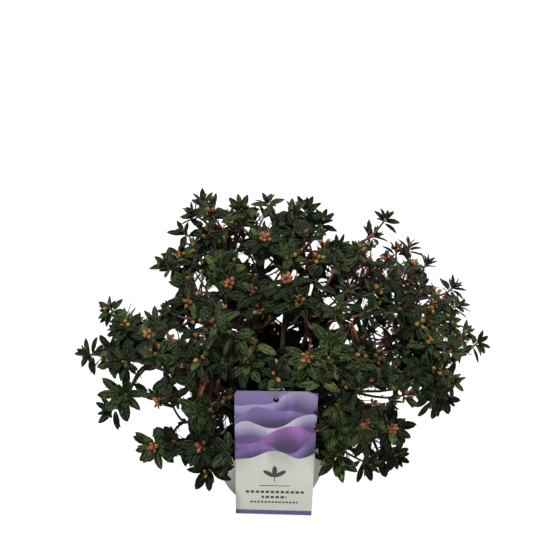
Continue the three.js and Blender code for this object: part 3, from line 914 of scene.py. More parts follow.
def limb(line, radius_at, sides, rings, relief=None):
    """A tapering limb: a rod whose rings are set along a line."""
    shape = rod(sides, rings)
    centres = np.array([line(i / rings) for i in range(rings + 1)])
    tangents = np.gradient(centres, axis=0)
    tangents /= np.linalg.norm(tangents, axis=1)[:, None]
    normal = np.array(square_to(Vector(tangents[0]))[0])
    normals = []
    for tangent in tangents:
        normal = normal - tangent * (normal @ tangent)
        normal /= np.linalg.norm(normal)
        normals.append(normal)
    normals = np.array(normals)
    across = np.cross(tangents, normals)
    at = np.rint(shape.points[:, 2] * rings).astype(int)
    radii = np.array([radius_at(i / rings) for i in range(rings + 1)])[at]
    length = np.linalg.norm(np.diff(centres, axis=0), axis=1).sum()
    own = shape.points * np.column_stack([radii, radii, np.full(len(radii), length)])
    if relief:
        radii = radii + np.array([relief(Vector(point)) for point in own])
    around = shape.points[:, :1] * normals[at] + shape.points[:, 1:2] * across[at]
    return shape, centres[at] + around * radii[:, None], own


# ---- Shader nodes ----


class Nodes:
    """Adds shader nodes to a tree by short calls."""

    def __init__(self, tree):
        self.tree = tree

    def link(self, value, socket):
        self.tree.links.new(value, socket)

    def add(self, kind, inputs=None, **settings):
        node = self.tree.nodes.new("ShaderNode" + kind)
        for name, value in settings.items():
            setattr(node, name, value)
        for name, value in (inputs or {}).items():
            if isinstance(value, bpy.types.NodeSocket):
                self.link(value, node.inputs[name])
            else:
                node.inputs[name].default_value = value
        return node

    def group(self, tree, **inputs):
        return self.add("Group", inputs, node_tree=tree).outputs

    def math(self, operation, *values):
        return self.add("Math", dict(enumerate(values)), operation=operation).outputs[0]

    def scaled(self, vector, factors):
        inputs = {0: vector, 1: factors}
        return self.add("VectorMath", inputs, operation="MULTIPLY").outputs[0]

    def mix(self, share, a, b):
        return self.add("Mix", {0: share, 6: a, 7: b}, data_type="RGBA").outputs[2]

    def tones(self, share, dark, light):
        return self.mix(share, linear(dark), linear(light))

    def ramp(self, value, low, high, to_low=0.0, to_high=1.0, smooth=True):
        inputs = {0: value, 1: low, 2: high, 3: to_low, 4: to_high}
        kind = "SMOOTHSTEP" if smooth else "LINEAR"
        return self.add("MapRange", inputs, interpolation_type=kind).outputs[0]

    def noise(self, vector, scale, detail=3.0, roughness=0.55):
        inputs = {"Vector": vector, "Scale": scale, "Detail": detail, "Roughness": roughness}
        return self.add("TexNoise", inputs).outputs["Fac"]

    def object_place(self):
        return self.add("TexCoord").outputs["Object"]


def linear(code):
    """A plain colour from its hexadecimal code."""
    values = [int(code[i : i + 2], 16) / 255 for i in (1, 3, 5)]
    straight = [v / 12.92 if v <= 0.04045 else ((v + 0.055) / 1.055) ** 2.4 for v in values]
    return (*straight, 1.0)


def new_group(name, inputs, outputs):
    """A new shader node group. Inputs are {name: default value}, outputs are names."""
    tree = bpy.data.node_groups.new(name, "ShaderNodeTree")
    for label, default in inputs.items():
        kind = "NodeSocketVector" if isinstance(default, tuple) else "NodeSocketFloat"
        socket = tree.interface.new_socket(name=label, in_out="INPUT", socket_type=kind)
        socket.default_value = default
    for label in outputs:
        tree.interface.new_socket(name=label, in_out="OUTPUT", socket_type="NodeSocketFloat")
    return Nodes(tree), tree.nodes.new("NodeGroupInput").outputs


def put_out(nodes, **values):
    output = nodes.tree.nodes.new("NodeGroupOutput")
    for label, value in values.items():
        nodes.link(value, output.inputs[label])
    return nodes.tree


BLOTCH_SHARE = 0.75
BLOTCH_EDGES = (0.32, 0.68)
CRACK_EDGES = (0.38, 0.56)
FLAKES = SimpleNamespace(finer=3.0, height=0.3)
ROUGHNESS_SPREAD = 0.06


def make_mottle():
    """Soft blotches and a fine grain, as on leaves, buds, card and plastic."""
    inputs = {"Vector": (0.0, 0.0, 0.0), "Blotches": 60.0, "Grain": 900.0}
    nodes, given = new_group("Mottle", inputs, ("Shade", "Height"))
    blotches = nodes.noise(given["Vector"], given["Blotches"], 3)
    grain = nodes.noise(given["Vector"], given["Grain"], 2)
    fine = nodes.math("MULTIPLY", grain, 1 - BLOTCH_SHARE)
    shade = nodes.math("MULTIPLY_ADD", blotches, BLOTCH_SHARE, fine)
    return put_out(nodes, Shade=nodes.ramp(shade, *BLOTCH_EDGES), Height=grain)


def make_fissures():
    """Cracks that run along a limb, whose own Z is the way along it."""
    inputs = {"Vector": (0.0, 0.0, 0.0), "Scale": 500.0, "Stretch": 0.16}
    nodes, given = new_group("Fissures", inputs, ("Crack", "Height"))
    squeeze = nodes.add("CombineXYZ", {0: 1.0, 1: 1.0, 2: given["Stretch"]}).outputs[0]
    drawn = nodes.scaled(given["Vector"], squeeze)
    ridges = nodes.noise(drawn, given["Scale"], 4, 0.6)
    crack = nodes.ramp(ridges, *CRACK_EDGES, 1.0, 0.0)
    flakes = nodes.noise(drawn, nodes.math("MULTIPLY", given["Scale"], FLAKES.finer), 2)
    ridge = nodes.math("SUBTRACT", 1.0, crack)
    return put_out(nodes, Crack=crack, Height=nodes.math("MULTIPLY_ADD", flakes, FLAKES.height, ridge))


MOTTLE = make_mottle()
FISSURES = make_fissures()


def new_material(name, roughness, **sockets):
    """A material with its nodes, shader and constant values."""
    material = bpy.data.materials.new(name)
    material.use_nodes = True
    tree = material.node_tree
    shader = tree.nodes["Principled BSDF"]
    shader.inputs["Roughness"].default_value = roughness
    for label, value in sockets.items():
        shader.inputs[label.replace("_", " ")].default_value = value
    return material, Nodes(tree), shader.inputs


def bumped(nodes, sockets, height, strength, distance):
    inputs = {"Height": height, "Strength": strength, "Distance": distance}
    nodes.link(nodes.add("Bump", inputs).outputs[0], sockets["Normal"])


def mottled_material(name, dark, light, roughness, blotches, grain, bump, depth, **sockets):
    """Two tones of one colour in soft blotches, over a fine raised grain."""
    material, nodes, shader = new_material(name, roughness, **sockets)
    face = nodes.group(MOTTLE, Vector=nodes.object_place(), Blotches=blotches, Grain=grain)
    nodes.link(nodes.tones(face["Shade"], dark, light), shader["Base Color"])
    least, most = roughness - ROUGHNESS_SPREAD, roughness + ROUGHNESS_SPREAD
    nodes.link(nodes.ramp(face["Shade"], 0.0, 1.0, least, most, False), shader["Roughness"])
    bumped(nodes, shader, face["Height"], bump, depth)
    return material


def bark_material(name, deep, bare, roughness, scale, bump, depth):
    """Bark that is dark in its cracks and paler on its ridges."""
    material, nodes, shader = new_material(name, roughness)
    own = nodes.add("Attribute", attribute_name="own").outputs["Vector"]
    cracks = nodes.group(FISSURES, Vector=own, Scale=scale)
    mottle = nodes.group(MOTTLE, Vector=nodes.object_place(), Blotches=45.0, Grain=1200.0)
    ridge = nodes.tones(mottle["Shade"], *bare)
    nodes.link(nodes.mix(cracks["Crack"], ridge, linear(deep)), shader["Base Color"])
    bumped(nodes, shader, cracks["Height"], bump, depth)
    return material


# The tones and roughness of what grows, in the face that each kind shares.
LEAF_FACE = {
    "blotches": 240.0, "grain": 480.0, "bump": 1.0, "depth": 0.0013, "Specular_IOR_Level": 0.07
}
BUD_FACE = {
    "blotches": 420.0, "grain": 1300.0, "bump": 0.8, "depth": 0.0004, "Specular_IOR_Level": 0.3
}
POD_FACE = {
    "blotches": 300.0, "grain": 1800.0, "bump": 0.6, "depth": 0.0003, "Specular_IOR_Level": 0.1
}
GROWING = (
    # The edge tones colour a leaf's rib, paler in its own right, and its rolled margins, whose lighter
    # green is a painted highlight.
    ("rib_and_margin_highlight_deep", "#28321d", "#454f33", 0.55, LEAF_FACE),
    ("rib_and_margin_highlight_mid", "#394329", "#606740", 0.55, LEAF_FACE),
    ("rib_and_margin_highlight_fresh", "#464d2b", "#757846", 0.55, LEAF_FACE),
    ("leaf_back", "#20241a", "#33372a", 0.7, LEAF_FACE),
    # The inner leaves' near-black green is painted shade, for the shaded inside of the crown.
    ("leaf_inner_painted_shade", "#080b06", "#11170d", 0.6, LEAF_FACE),
    ("leaf_deep", "#040802", "#142010", 0.6, LEAF_FACE),
    ("leaf_mid", "#0a1004", "#27351b", 0.6, LEAF_FACE),
    ("leaf_fresh", "#19220d", "#3d4a25", 0.6, LEAF_FACE),
    ("leaf_dry", "#5a3426", "#7c4e38", 0.7, LEAF_FACE),
    ("bud_rust", "#3c1d10", "#985e39", 0.6, BUD_FACE),
    ("bud_brown", "#3c211a", "#6a412e", 0.6, BUD_FACE),
    ("bud_gold", "#553a19", "#8d672f", 0.6, BUD_FACE),
    ("pod_dry", "#2c1b14", "#5c3c28", 0.75, POD_FACE),
)
paint = {
    name: mottled_material(name, dark, light, roughness, **face)
    for name, dark, light, roughness, face in GROWING
}
bark_old = bark_material("bark_old", "#170f0c", ("#291b15", "#3d2920"), 0.88, 420.0, 0.9, 0.0006)
twig_bark = bark_material("twig_bark", "#1d120e", ("#38211a", "#4e3025"), 0.8, 900.0, 0.6, 0.0002)
twig_red = bark_material("twig_red", "#3c1c13", ("#5a2e1f", "#76452f"), 0.7, 900.0, 0.4, 0.0001)

# ---- Leaves, buds and pods as shapes ----


def half_width(along, width, form):
    """Half a leaf's width at a share of its length: a stalk, then an oval with a point."""
    if along <= LEAF.petiole:
        return LEAF.stalk * (along > 0)
    blade = (along - LEAF.petiole) / (1 - LEAF.petiole)
    widest, fullness = form
    return width / 2 * math.sin(math.pi * blade**widest) ** fullness if blade < 1 else 0


def leaf_shape(columns, rows, width, fold, droop, curl, form):
    """A leaf that lies along Y with its face up: a folded blade whose rib and rolled margins are
    strips of their own in a paler finish, the rib's own paler green and a painted highlight on the
    margins, and an underside that meets it at the rim."""
    fold = math.radians(fold)
    bm = bmesh.new()
    for under, across in ((False, columns), (True, PLAIN_COLUMNS)):
        last_column, last_row = len(across) - 1, len(rows) - 1
        grid = bmesh.ops.create_grid(bm, x_segments=last_column, y_segments=last_row, size=0.5)
        faces = list({face for vert in grid["verts"] for face in vert.link_faces})
        for face in faces:
            column = round((face.calc_center_median().x + 0.5) * last_column - 0.5)
            # Slot 1 takes the rib and the rolled margins: a paler rib, and margins lightened as a
            # painted highlight.
            face.material_index = 2 if under else last_column > 2 and column % 2 == 0
        for vert in grid["verts"]:
            u = across[round((vert.co.x + 0.5) * last_column)]
            t = rows[round((vert.co.y + 0.5) * last_row)]
            half = half_width(t, width, form)
            rise = abs(u) * half * math.tan(fold)
            roll = max(0, abs(u) - LEAF.roll_from) * half * LEAF.roll
            bend = droop * LEAF.length * t**2
            twist = curl * u * half * math.sin(math.pi * t)
            length = t * LEAF.length * (1 - droop**2 / 2)
            drop = LEAF.thickness * (under and u == 0 and 0 < t < 1)
            vert.co = (u * half * math.cos(fold), length, rise - roll - bend + twist - drop)
        if under:
            bmesh.ops.reverse_faces(bm, faces=faces)
    bmesh.ops.remove_doubles(bm, verts=bm.verts, dist=1e-4)
    return Shape(bm)


def leaf_family(form):
    return [
        leaf_shape(LEAF_COLUMNS, LEAF_ROWS, LEAF.width * width, fold, droop, curl, form)
        for width, fold, droop, curl in LEAF_FORMS
    ]


BLUNT_LEAVES = leaf_family(BLUNT)
POINTED_LEAVES = leaf_family(POINTED)
ONE_FORM_LEAVES = {
    "inner": leaf_shape(PLAIN_COLUMNS, INNER_LEAF_ROWS, LEAF.width, 12, 0.12, 0.1, POINTED),
    "dry": leaf_shape(PLAIN_COLUMNS, INNER_LEAF_ROWS, LEAF.width / 2, 35, 0.1, 0.2, POINTED),
}

# A bud or a pod is a ball that is drawn out into an egg with rows of scales.
EGG = SimpleNamespace(sides=8, rings=7, rows=5, foot=0.04, power=0.8)


def egg_shape(length, width, scales, slot):
    """A pointed egg with its scales as steps, standing on the origin along Y."""
    bm = bmesh.new()
    bmesh.ops.create_uvsphere(bm, u_segments=EGG.sides, v_segments=EGG.rings, radius=1)
    for vert in bm.verts:
        along = (vert.co.z + 1) / 2
        aside = math.hypot(vert.co.x, vert.co.y)
        row = min(EGG.rows - 1, math.floor(along * EGG.rows))
        swell = math.sin(math.pi * min(1, lerp(EGG.foot, 1, along)) ** EGG.power)
        swell *= 1 + scales * (row % 2)
        scale = width / 2 * swell / aside if aside > 1e-6 else 0
        vert.co = (vert.co.x * scale, along * length, -vert.co.y * scale)
    for face in bm.faces:
        face.material_index = slot
    return Shape(bm)


BUD_SHAPES = {
    colour: egg_shape(BUD.length, BUD.width, BUD.scales, slot)
    for slot, colour in enumerate(BUD_COLOURS)
}
POD_SHAPE = egg_shape(POD.length, POD.width, POD.scales, 0)

# ---- The stars of leaves ----


def pointing(root, along, up, size):
    """Where a shape stands whose Y points along and whose Z leans to up."""
    y = along.normalized()
    x = y.cross(up)
    x = x.normalized() if x.length > 1e-3 else square_to(y)[0]
    turn = Matrix((x, y, x.cross(y))).transposed()
    return Matrix.Translation(root) @ turn.to_4x4() @ Matrix.Scale(size, 4)


TONES = ("deep", "mid", "fresh", "inner", "dry")
leaves = {(tone, part): [] for tone in TONES for part in ("upper", "lower")}
buds = []
pods = []
twigs = {"old": [], "red": []}


def tone_of(mass, draw):
    """Which of the three greens a star has. More are fresh where the boughs are young."""
    young = mass.centre.x > YOUNG.right_of and mass.centre.z < YOUNG.below
    low = mass.tier.name not in ("high", "top")
    chance = draw() + TONE.more_low * low + TONE.more_young * young
    return "deep" if chance < TONE.deep else "mid" if chance < TONE.mid else "fresh"


def add_leaf(tone, root, along, keel, size, draw, narrow=False):
    """A leaf that is clear of the gaps, the pot and the tag: if it isn't so at first, it is
    tried again smaller and a little to the side."""
    pointed = tone == "fresh" or root.z > SPLIT_HEIGHT or draw() < POINTED_SHARE
    family = POINTED_LEAVES if pointed else BLUNT_LEAVES
    first = len(LEAF_FORMS) - FORMS_DRAWN if narrow else 0
    shape = family[first + int(draw() * FORMS_DRAWN)]
    shape = ONE_FORM_LEAVES.get(tone, shape)
    for share in SECOND_TRIES:
        stray = Vector((draw() - 0.5, draw() - 0.5, draw() - 0.5))
        aside = stray * TURNED_ASIDE * (1 - share)
        matrix = pointing(root, along.normalized() + aside, keel, size * share)
        spots = [matrix @ Vector((0, LEAF.length * spot, 0)) for spot in CHECKED_AT]
        if all(is_free(spot) and not in_gap(spot, GAP_MARGIN) for spot in spots):
            part = "upper" if root.z > SPLIT_HEIGHT else "lower"
            leaves[tone, part].append(set_at(shape, matrix))
            return


def add_dry_bunch(tip, draw):
    """Withered leaves that hang from a tip."""
    for _ in range(DRY_BUNCH.leaves):
        way = Vector((draw() - 0.5, draw() - 0.5, -between(draw, *DRY_BUNCH.fall)))
        add_leaf("dry", tip, way, way.cross(UP), between(draw, *DRY_BUNCH.size), draw)


def add_star(mass, shoot, draw):
    """Leaves in a spiral round a shoot's tip, the outer ones spread wide. Gives the star's
    axis."""
    tone = tone_of(mass, draw)
    fresh, bunched = "fresh" in shoot.marks, "bunch" in shoot.marks
    if shoot.facing and (tone == "fresh" or fresh):
        tone = "mid"
    to_front = shoot.facing or (FACING.front if shoot.tip.y < 0 else 0)
    axis = shoot.axis + mass.outward * STAR.outward + UP * STAR.upward
    axis = (axis - Vector((0, to_front, 0))).normalized()
    count = round(between(draw, *STAR.leaves))
    turn = draw() * FULL_TURN
    small = is_small(shoot.tip)
    star_size = between(draw, *STAR.size) * (SMALL.size if small else 1)
    if shoot.facing:
        star_size = LEADING.size * between(draw, *LEADING.vary) * (SMALL.leading if small else 1)
    if "withered" in shoot.marks:
        add_dry_bunch(shoot.tip, draw)
        return axis
    low, depth = STAR.low, STAR.depth
    high = STAR.high_in_bunch if bunched or "golden" in shoot.marks else STAR.high
    kind = next((name for name in KINDS if name in shoot.marks), None)
    if kind:
        star_size, count, low, depth = KINDS[kind]
    young_share = HEART_LEAF.young_in_bunch if bunched else HEART_LEAF.young
    for place in range(count):
        share = place / (count - 1)
        turn += GOLDEN_ANGLE + (draw() - 0.5) * STAR.turn_stray
        spread = lerp(low, high, share**STAR.fan) + (draw() - 0.5) * STAR.spread_stray
        spread = math.radians(spread)
        away = aside_from(axis, turn)
        along = leaning(axis, turn, spread) - UP * STAR.sag * (1 - share)
        root = shoot.tip - axis * depth * (1 - share)
        size = lerp(LEAF_SIZE.lowest, LEAF_SIZE.highest, share**LEAF_SIZE.fall)
        size = star_size * size * between(draw, *LEAF_SIZE.vary)
        keel = axis * math.sin(spread) - away * math.cos(spread)
        keel += square_to(axis)[0] * (draw() - 0.5) * STAR.keel_stray
        keel.y -= TURNED_TO_FRONT * (shoot.facing > 0)
        young = share > HEART_LEAF.above and draw() < young_share
        leaf_tone = "fresh" if young or (fresh and place % 2) else tone
        narrow = small or kind == "slim"
        add_leaf(leaf_tone, root, along, keel, size, draw, narrow)
    return axis


def add_stalk(bark, start, end, radius):
    twigs[bark].append(limb(bezier(start, end), taper(radius, radius), 5, 1))


def add_buds(tip, axis, marks, draw):
    """One bud, or a bunch of them close together, in one of three colours."""
    chance = draw()
    least, choices = BUD.few
    count = 0 if chance < BUD.none else 1 if chance < BUD.single else least + int(draw() * choices)
    chance = draw()
    colour = "rust" if chance < BUD.rust else "brown" if chance < BUD.brown else "gold"
    if marks:
        least, choices = BUD.golden if "golden" in marks else BUD.bunch
        count = least + int(draw() * choices)
        colour = "gold" if "golden" in marks else "rust"
    start = draw() * FULL_TURN
    for place in range(count):
        central = place == 0 and count > 3
        lean = 0 if count == 1 else math.radians(between(draw, *BUD.lean)) * (not central)
        turn = start + place * FULL_TURN / max(1, count - (count > 3))
        along = leaning(axis, turn, lean)
        root = tip + along * BUD.stalk * (count > 1) * between(draw, *BUD.stalk_length)
        size = between(draw, *BUD.size) * (BUD.in_bunch if marks else 1)
        buds.append(set_at(BUD_SHAPES[colour], pointing(root, along, UP, size)))
        if count > 1:
            add_stalk("red", tip - axis, root + along * 0.6, BUD.stalk_radius)


def add_pods(tip, axis, draw):
    """A bunch of dry seed pods on splayed stalks."""
    for place in range(POD.count):
        lean = math.radians(between(draw, *POD.lean))
        along = leaning(axis, place * GOLDEN_ANGLE, lean)
        root = tip + along * POD.stalk
        pods.append(set_at(POD_SHAPE, pointing(root, along, UP, between(draw, *POD.size))))
        add_stalk("old", tip - axis, root + along * 0.6, POD.stalk_radius)


def add_inner_leaves(shoot, shares, draw):
    """Older green leaves here and there along a shoot, dark as painted shade of the crown's inside,
    and now and then a withered one.
    """
    for share in shares:
        if draw() < INNER.bare:
            continue
        root = shoot.line(share)
        along = heading(shoot.line, share, STEP.twig, STEP.twig)
        way = aside_from(along, draw() * FULL_TURN) + along * between(draw, *INNER.along)
        size = between(draw, *INNER.size)
        if draw() < INNER.dry:
            add_leaf("dry", root, way * INNER.dry_out - UP, way, size * INNER.dry_size, draw)
        else:
            # These inner leaves are darkened as painted shade of the crown's inside.
            add_leaf("inner", root, way, along + UP * INNER.keel, size, draw)


def add_bare_twigs(shoot, draw):
    """Short twigs along a shoot that have lost their leaves."""
    for _ in range(BARE.count):
        start = between(draw, *BARE.start)
        root = shoot.line(start)
        along = heading(shoot.line, start, 0, STEP.twig)
        way = aside_from(along, draw() * FULL_TURN) + along * between(draw, *BARE.along)
        tip = root + way.normalized() * between(draw, *BARE.length)
        if is_free(tip):
            line = bezier(root, root.lerp(tip, 0.5) + UP * between(draw, *BARE.sway), tip)
            bark = "red" if draw() < RED_SHARE.bare else "old"
            twigs[bark].append(limb(line, taper(*BARE.radii), 5, 2))


def dress_mass(mass):
    draw = seeded(mass.seed + 4000)
    stem = bezier(mass.entry - mass.outward * 3, mass.hub)
    twigs["old"].append(limb(stem, taper(BOUGH.tip, STEM.tip * 0.8), 8, 4))
    for shoot in mass.shoots:
        bark = "red" if draw() < RED_SHARE.shoot else "old"
        twigs[bark].append(limb(shoot.line, taper(*shoot.radii), 6, 7))
        axis = add_star(mass, shoot, draw)
        if "seeded" in shoot.marks:
            add_pods(shoot.tip, axis, draw)
        if not {"slim", "withered"} & set(shoot.marks):
            add_buds(shoot.tip, axis, {"bunch", "golden"} & set(shoot.marks), draw)
        add_inner_leaves(shoot, ON_SHOOT, draw)
        add_bare_twigs(shoot, draw)


def dress_tufts():
    draw = seeded(72)
    for tuft in tufts:
        twigs["old"].append(limb(tuft.line, taper(*tuft.radii), 5, 4))
        add_inner_leaves(tuft, ON_TUFT, draw)


for mass in masses:
    dress_mass(mass)
dress_tufts()

leaf_nodes = [f"leaves_{mass.name}" for mass in masses]
# The finish of a leaf's face, of its rib and rim, and of its back. The rib and rim finish is paler:
# the rib's own paler green, and a painted highlight on the rolled rim.
BLADES = {
    "deep": ("leaf_deep", "rib_and_margin_highlight_deep", "leaf_back"),
    "mid": ("leaf_mid", "rib_and_margin_highlight_mid", "leaf_back"),
    "fresh": ("leaf_fresh", "rib_and_margin_highlight_fresh", "leaf_back"),
    "inner": ("leaf_inner_painted_shade", "rib_and_margin_highlight_deep", "leaf_back"),
    "dry": ("leaf_dry", "leaf_dry", "leaf_dry"),
}
for (tone, part), made in leaves.items():
    finishes = [paint[name] for name in BLADES[tone]]
    add_piece(joined(f"leaves_{tone}_{part}", made), finishes, leaf_nodes)
bud_finishes = [paint[f"bud_{colour}"] for colour in BUD_COLOURS]
add_piece(joined("buds", buds), bud_finishes, leaf_nodes)
add_piece(joined("seed_pods", pods), [paint["pod_dry"]], leaf_nodes)
add_piece(joined("twigs_old", twigs["old"]), [twig_bark], leaf_nodes)
add_piece(joined("twigs_red", twigs["red"]), [twig_red], leaf_nodes)

# ---- Trunk and boughs ----

# The relief's height and the spacing of its ridges.
FLARE_RELIEF = (1.6, 5)
BOUGH_RELIEF = (0.5, 2.2)
RELIEF_STRETCH = 0.22
COLLAR = SimpleNamespace(swell=1.1, fade=22)


def bark_relief(height, spacing):
    """Ridges along a limb, in millimetres, from a limb's own places."""

    def at(point):
        drawn = Vector((point.x, point.y, point.z * RELIEF_STRETCH)) / spacing
        return height * (noise.noise(drawn) + 0.5 * noise.noise(drawn * 2.3))

    return at


def bough_radius(mass):
    """A bough's radius along it, with a collar where it leaves the trunk."""
    straight = taper(mass.tier.bough, BOUGH.tip)
    return lambda share: straight(share) + COLLAR.swell * math.exp(-share * COLLAR.fade)


def make_bark():
    parts = [limb(trunk_line, trunk_radius, 28, 60, bark_relief(*FLARE_RELIEF))]
    for mass in masses:
        parts.append(limb(mass.bough, bough_radius(mass), 12, 56, bark_relief(*BOUGH_RELIEF)))
    nodes = ["trunk"] + [f"bough_{mass.name}" for mass in masses]
    add_piece(joined("bark", parts), [bark_old], nodes)


make_bark()

# ---- Pot and potting mix ----

pot_clay = mottled_material("pot_clay", "#aaa4a0", "#bcb6b1", 0.62, 26.0, 1400.0, 0.25, 0.0002)
peat = mottled_material("peat", "#150f0b", "#33261c", 0.95, 160.0, 1300.0, 1.0, 0.0012)
crumb = mottled_material("crumb", "#20160f", "#453325", 0.95, 220.0, 1500.0, 1.0, 0.0008)
POT_FOOT = SimpleNamespace(hollow=28, rim=29.5, rise=1.2)
PEAT_RINGS = 26
# The spacing and the height of the peat's lumps, which fade out at the wall.
LUMPS = ((7, 1.4), (2.6, 0.9))
LUMPS_FADE = 4
CRUMB = SimpleNamespace(count=700, reach=54, size=(0.5, 1.9), share=(0.6, 1), stand=0.6)
CRUMB_FLATNESS = (0.4, 0.7, 1.0)


def arc(centre, radius, start, end, steps):
    """Points of an arc in the plane of radius and height, in degrees from level."""
    turns = [math.radians(lerp(start, end, i / steps)) for i in range(steps + 1)]
    return [(centre[0] + radius * math.cos(t), centre[1] + radius * math.sin(t)) for t in turns]


def turn_at(height, radius):
    return math.degrees(math.asin((height - POT.belly_height) / radius))


def spun(profile, steps):
    """A closed solid, turned from a profile of radius and height."""
    bm = bmesh.new()
    verts = [bm.verts.new((radius, 0, height)) for radius, height in profile]
    for pair in zip(verts, verts[1:]):
        bm.edges.new(pair)
    spin_round(bm, steps)
    bmesh.ops.remove_doubles(bm, verts=bm.verts, dist=1e-3)
    bmesh.ops.recalc_face_normals(bm, faces=bm.faces)
    return bm


def make_pot():
    belly = (0, POT.belly_height)
    turn = math.radians(POT.shoulder_turn)
    swing = POT.belly - POT.shoulder
    shoulder = (swing * math.cos(turn), POT.belly_height + swing * math.sin(turn))
    lip = arc(shoulder, POT.shoulder - POT.wall / 2, POT.lip_turn, POT.lip_turn, 1)[0]
    inner = POT.belly - POT.wall
    profile = [
        (0, POT_FOOT.rise),
        (POT_FOOT.hollow, POT_FOOT.rise),
        (POT_FOOT.rim, 0),
        *arc(belly, POT.belly, turn_at(0, POT.belly), POT.shoulder_turn, 36),
        *arc(shoulder, POT.shoulder, POT.shoulder_turn, POT.lip_turn, 10)[1:],
        *arc(lip, POT.wall / 2, POT.lip_turn, POT.lip_turn + 180, 10)[1:],
        *arc(shoulder, POT.shoulder - POT.wall, POT.lip_turn, POT.shoulder_turn, 6)[1:],
        *arc(belly, inner, POT.shoulder_turn, turn_at(POT.floor, inner), 20)[1:],
        (0, POT.floor),
    ]
    add_piece(mesh_of("pot_wall", spun(profile, 128)), [pot_clay], ["pot"])


def make_soil():
    inner = POT.belly - POT.wall - CLEAR
    edge = turn_at(SOIL.top - SOIL.dip, inner)
    side = arc((0, POT.belly_height), inner, turn_at(POT.floor, inner), edge, 12)
    reach = side[-1][0]
    top = [(lerp(reach, 0, i / PEAT_RINGS), SOIL.top) for i in range(1, PEAT_RINGS + 1)]
    bm = spun([(0, side[0][1]), *side, *top], 90)
    for vert in bm.verts:
        if vert.co.z < SOIL.top - SOIL.dip - 1:
            continue
        aside = math.hypot(vert.co.x, vert.co.y)
        fall = SOIL.dip * max(0, (aside - SOIL.flat) / (reach - SOIL.flat)) ** 1.5
        lumps = sum(noise.noise(vert.co / spacing) * height for spacing, height in LUMPS)
        vert.co.z = SOIL.top - fall + lumps * min(1, (reach - aside) / LUMPS_FADE)
    add_piece(mesh_of("peat_bed", bm), [peat], ["soil"])


def crumb_shape(flatness):
    bm = bmesh.new()
    bmesh.ops.create_icosphere(bm, subdivisions=1, radius=1)
    for vert in bm.verts:
        vert.co *= 1 + 0.35 * noise.noise(vert.co * 1.7 + RIGHT * flatness)
        vert.co.z *= flatness
    return Shape(bm)


def make_crumbs():
    draw = seeded(77)
    shapes = [crumb_shape(flatness) for flatness in CRUMB_FLATNESS]
    parts = []
    for _ in range(CRUMB.count):
        aside = CRUMB.reach * math.sqrt(draw())
        turn = draw() * FULL_TURN
        shape = shapes[int(draw() * len(shapes))]
        size = between(draw, *CRUMB.size) * between(draw, *CRUMB.share)
        place = Vector((aside * math.cos(turn), aside * math.sin(turn), SOIL.top))
        if aside < TRUNK.flare:
            continue
        along = Vector((draw() - 0.5, draw() - 0.5, (draw() - 0.5) * CRUMB.stand))
        parts.append(set_at(shape, pointing(place, along, UP, size)))
    add_piece(joined("peat_crumbs", parts), [crumb], ["soil"])


make_pot()
make_soil()
make_crumbs()

# ---- Hang tag and tie ----

card_plain = mottled_material("card_plain", "#aeb0a5", "#b6b8af", 0.5, 30.0, 2200.0, 0.1, 0.0001)
tie_plastic = mottled_material(
    "tie_plastic", "#7d8478", "#98a092", 0.42, 120.0, 1800.0, 0.1, 0.0001
)
PRINT = SimpleNamespace(
    paper=("#abaea2", "#b2b4ab"),
    ink="#1f2927",
    bar="#463b72",
    bar_height=6.2,
    sky=("#604c8b", "#8070a7"),
    sky_heights=(128.0, 160.0),
    sprig=(0, 52),
    blades=(-56, 0, 56),
    blade_size=(14, 5.2),
    blur=0.15,
)
# Rows of dashes: height, half the length, half the thickness, and spacing of the dashes.
ROWS = ((40, 16, 0.5, 0), (31.5, 31, 1.7, 5.2), (24.5, 13, 1.7, 5.2), (17.5, 25, 1.2, 3.7))
DASH_EDGES = (0.26, 0.34)
# The waves of the printed picture from its head down: the height of a crest, the length of
# its wave, how far it is shifted, and its colours from crest to foot.
WAVES = (
    (147, 74, 0.4, "#a597c6", "#4a3874"),
    (132, 96, 2.3, "#7862a4", "#28164d"),
    (119, 66, 4.4, "#c2b8d2", "#573c81"),
    (104, 88, 0.9, "#875499", "#311757"),
    (92, 60, 3.2, "#705a9a", "#261444"),
)
PICTURE_FOOT = (82, 70, 1.6)
WAVE = SimpleNamespace(height=6.5, depth=19, slope=0.12, drift=30.0, drift_scale=0.02)
VEIN = SimpleNamespace(fan=0.08, across=0.5, spacing=2.6, edges=(0.8, 1.0), depth=0.14)


def inside(nodes, value, limit, blur=PRINT.blur):
    """1 where a value is under a limit, fading over a small blur."""
    return nodes.ramp(value, limit - blur, limit + blur, 1.0, 0.0)


def box_mask(nodes, x, y, middle, half_sizes):
    """1 inside a box that is given by its middle and half its sizes."""
    masks = []
    for value, centre, half in zip((x, y), middle, half_sizes):
        off = nodes.math("ABSOLUTE", nodes.math("SUBTRACT", value, centre))
        masks.append(inside(nodes, off, half))
    return nodes.math("MULTIPLY", *masks)


def blade_mask(nodes, x, y, foot, turn, length, width):
    """1 inside a slim oval that leans out from its foot."""
    right, up = (math.cos(turn), -math.sin(turn)), (math.sin(turn), math.cos(turn))
    from_x = nodes.math("SUBTRACT", x, foot[0] + up[0] * length / 2)
    from_y = nodes.math("SUBTRACT", y, foot[1] + up[1] * length / 2)
    rounds = []
    for axis, half in ((right, width / 2), (up, length / 2)):
        part = nodes.math("MULTIPLY", from_y, axis[1] / half)
        along = nodes.math("MULTIPLY_ADD", from_x, axis[0] / half, part)
        rounds.append(nodes.math("MULTIPLY", along, along))
    return inside(nodes, nodes.math("ADD", *rounds), 1.0, 0.08)


def below_crest(nodes, x, y, lift, height, length, shift):
    """How far a place is below a wave's crest."""
    swell = nodes.math("SINE", nodes.math("MULTIPLY_ADD", x, FULL_TURN / length, shift))
    crest = nodes.math("MULTIPLY_ADD", swell, WAVE.height, nodes.math("ADD", lift, height))
    return nodes.math("SUBTRACT", crest, y)


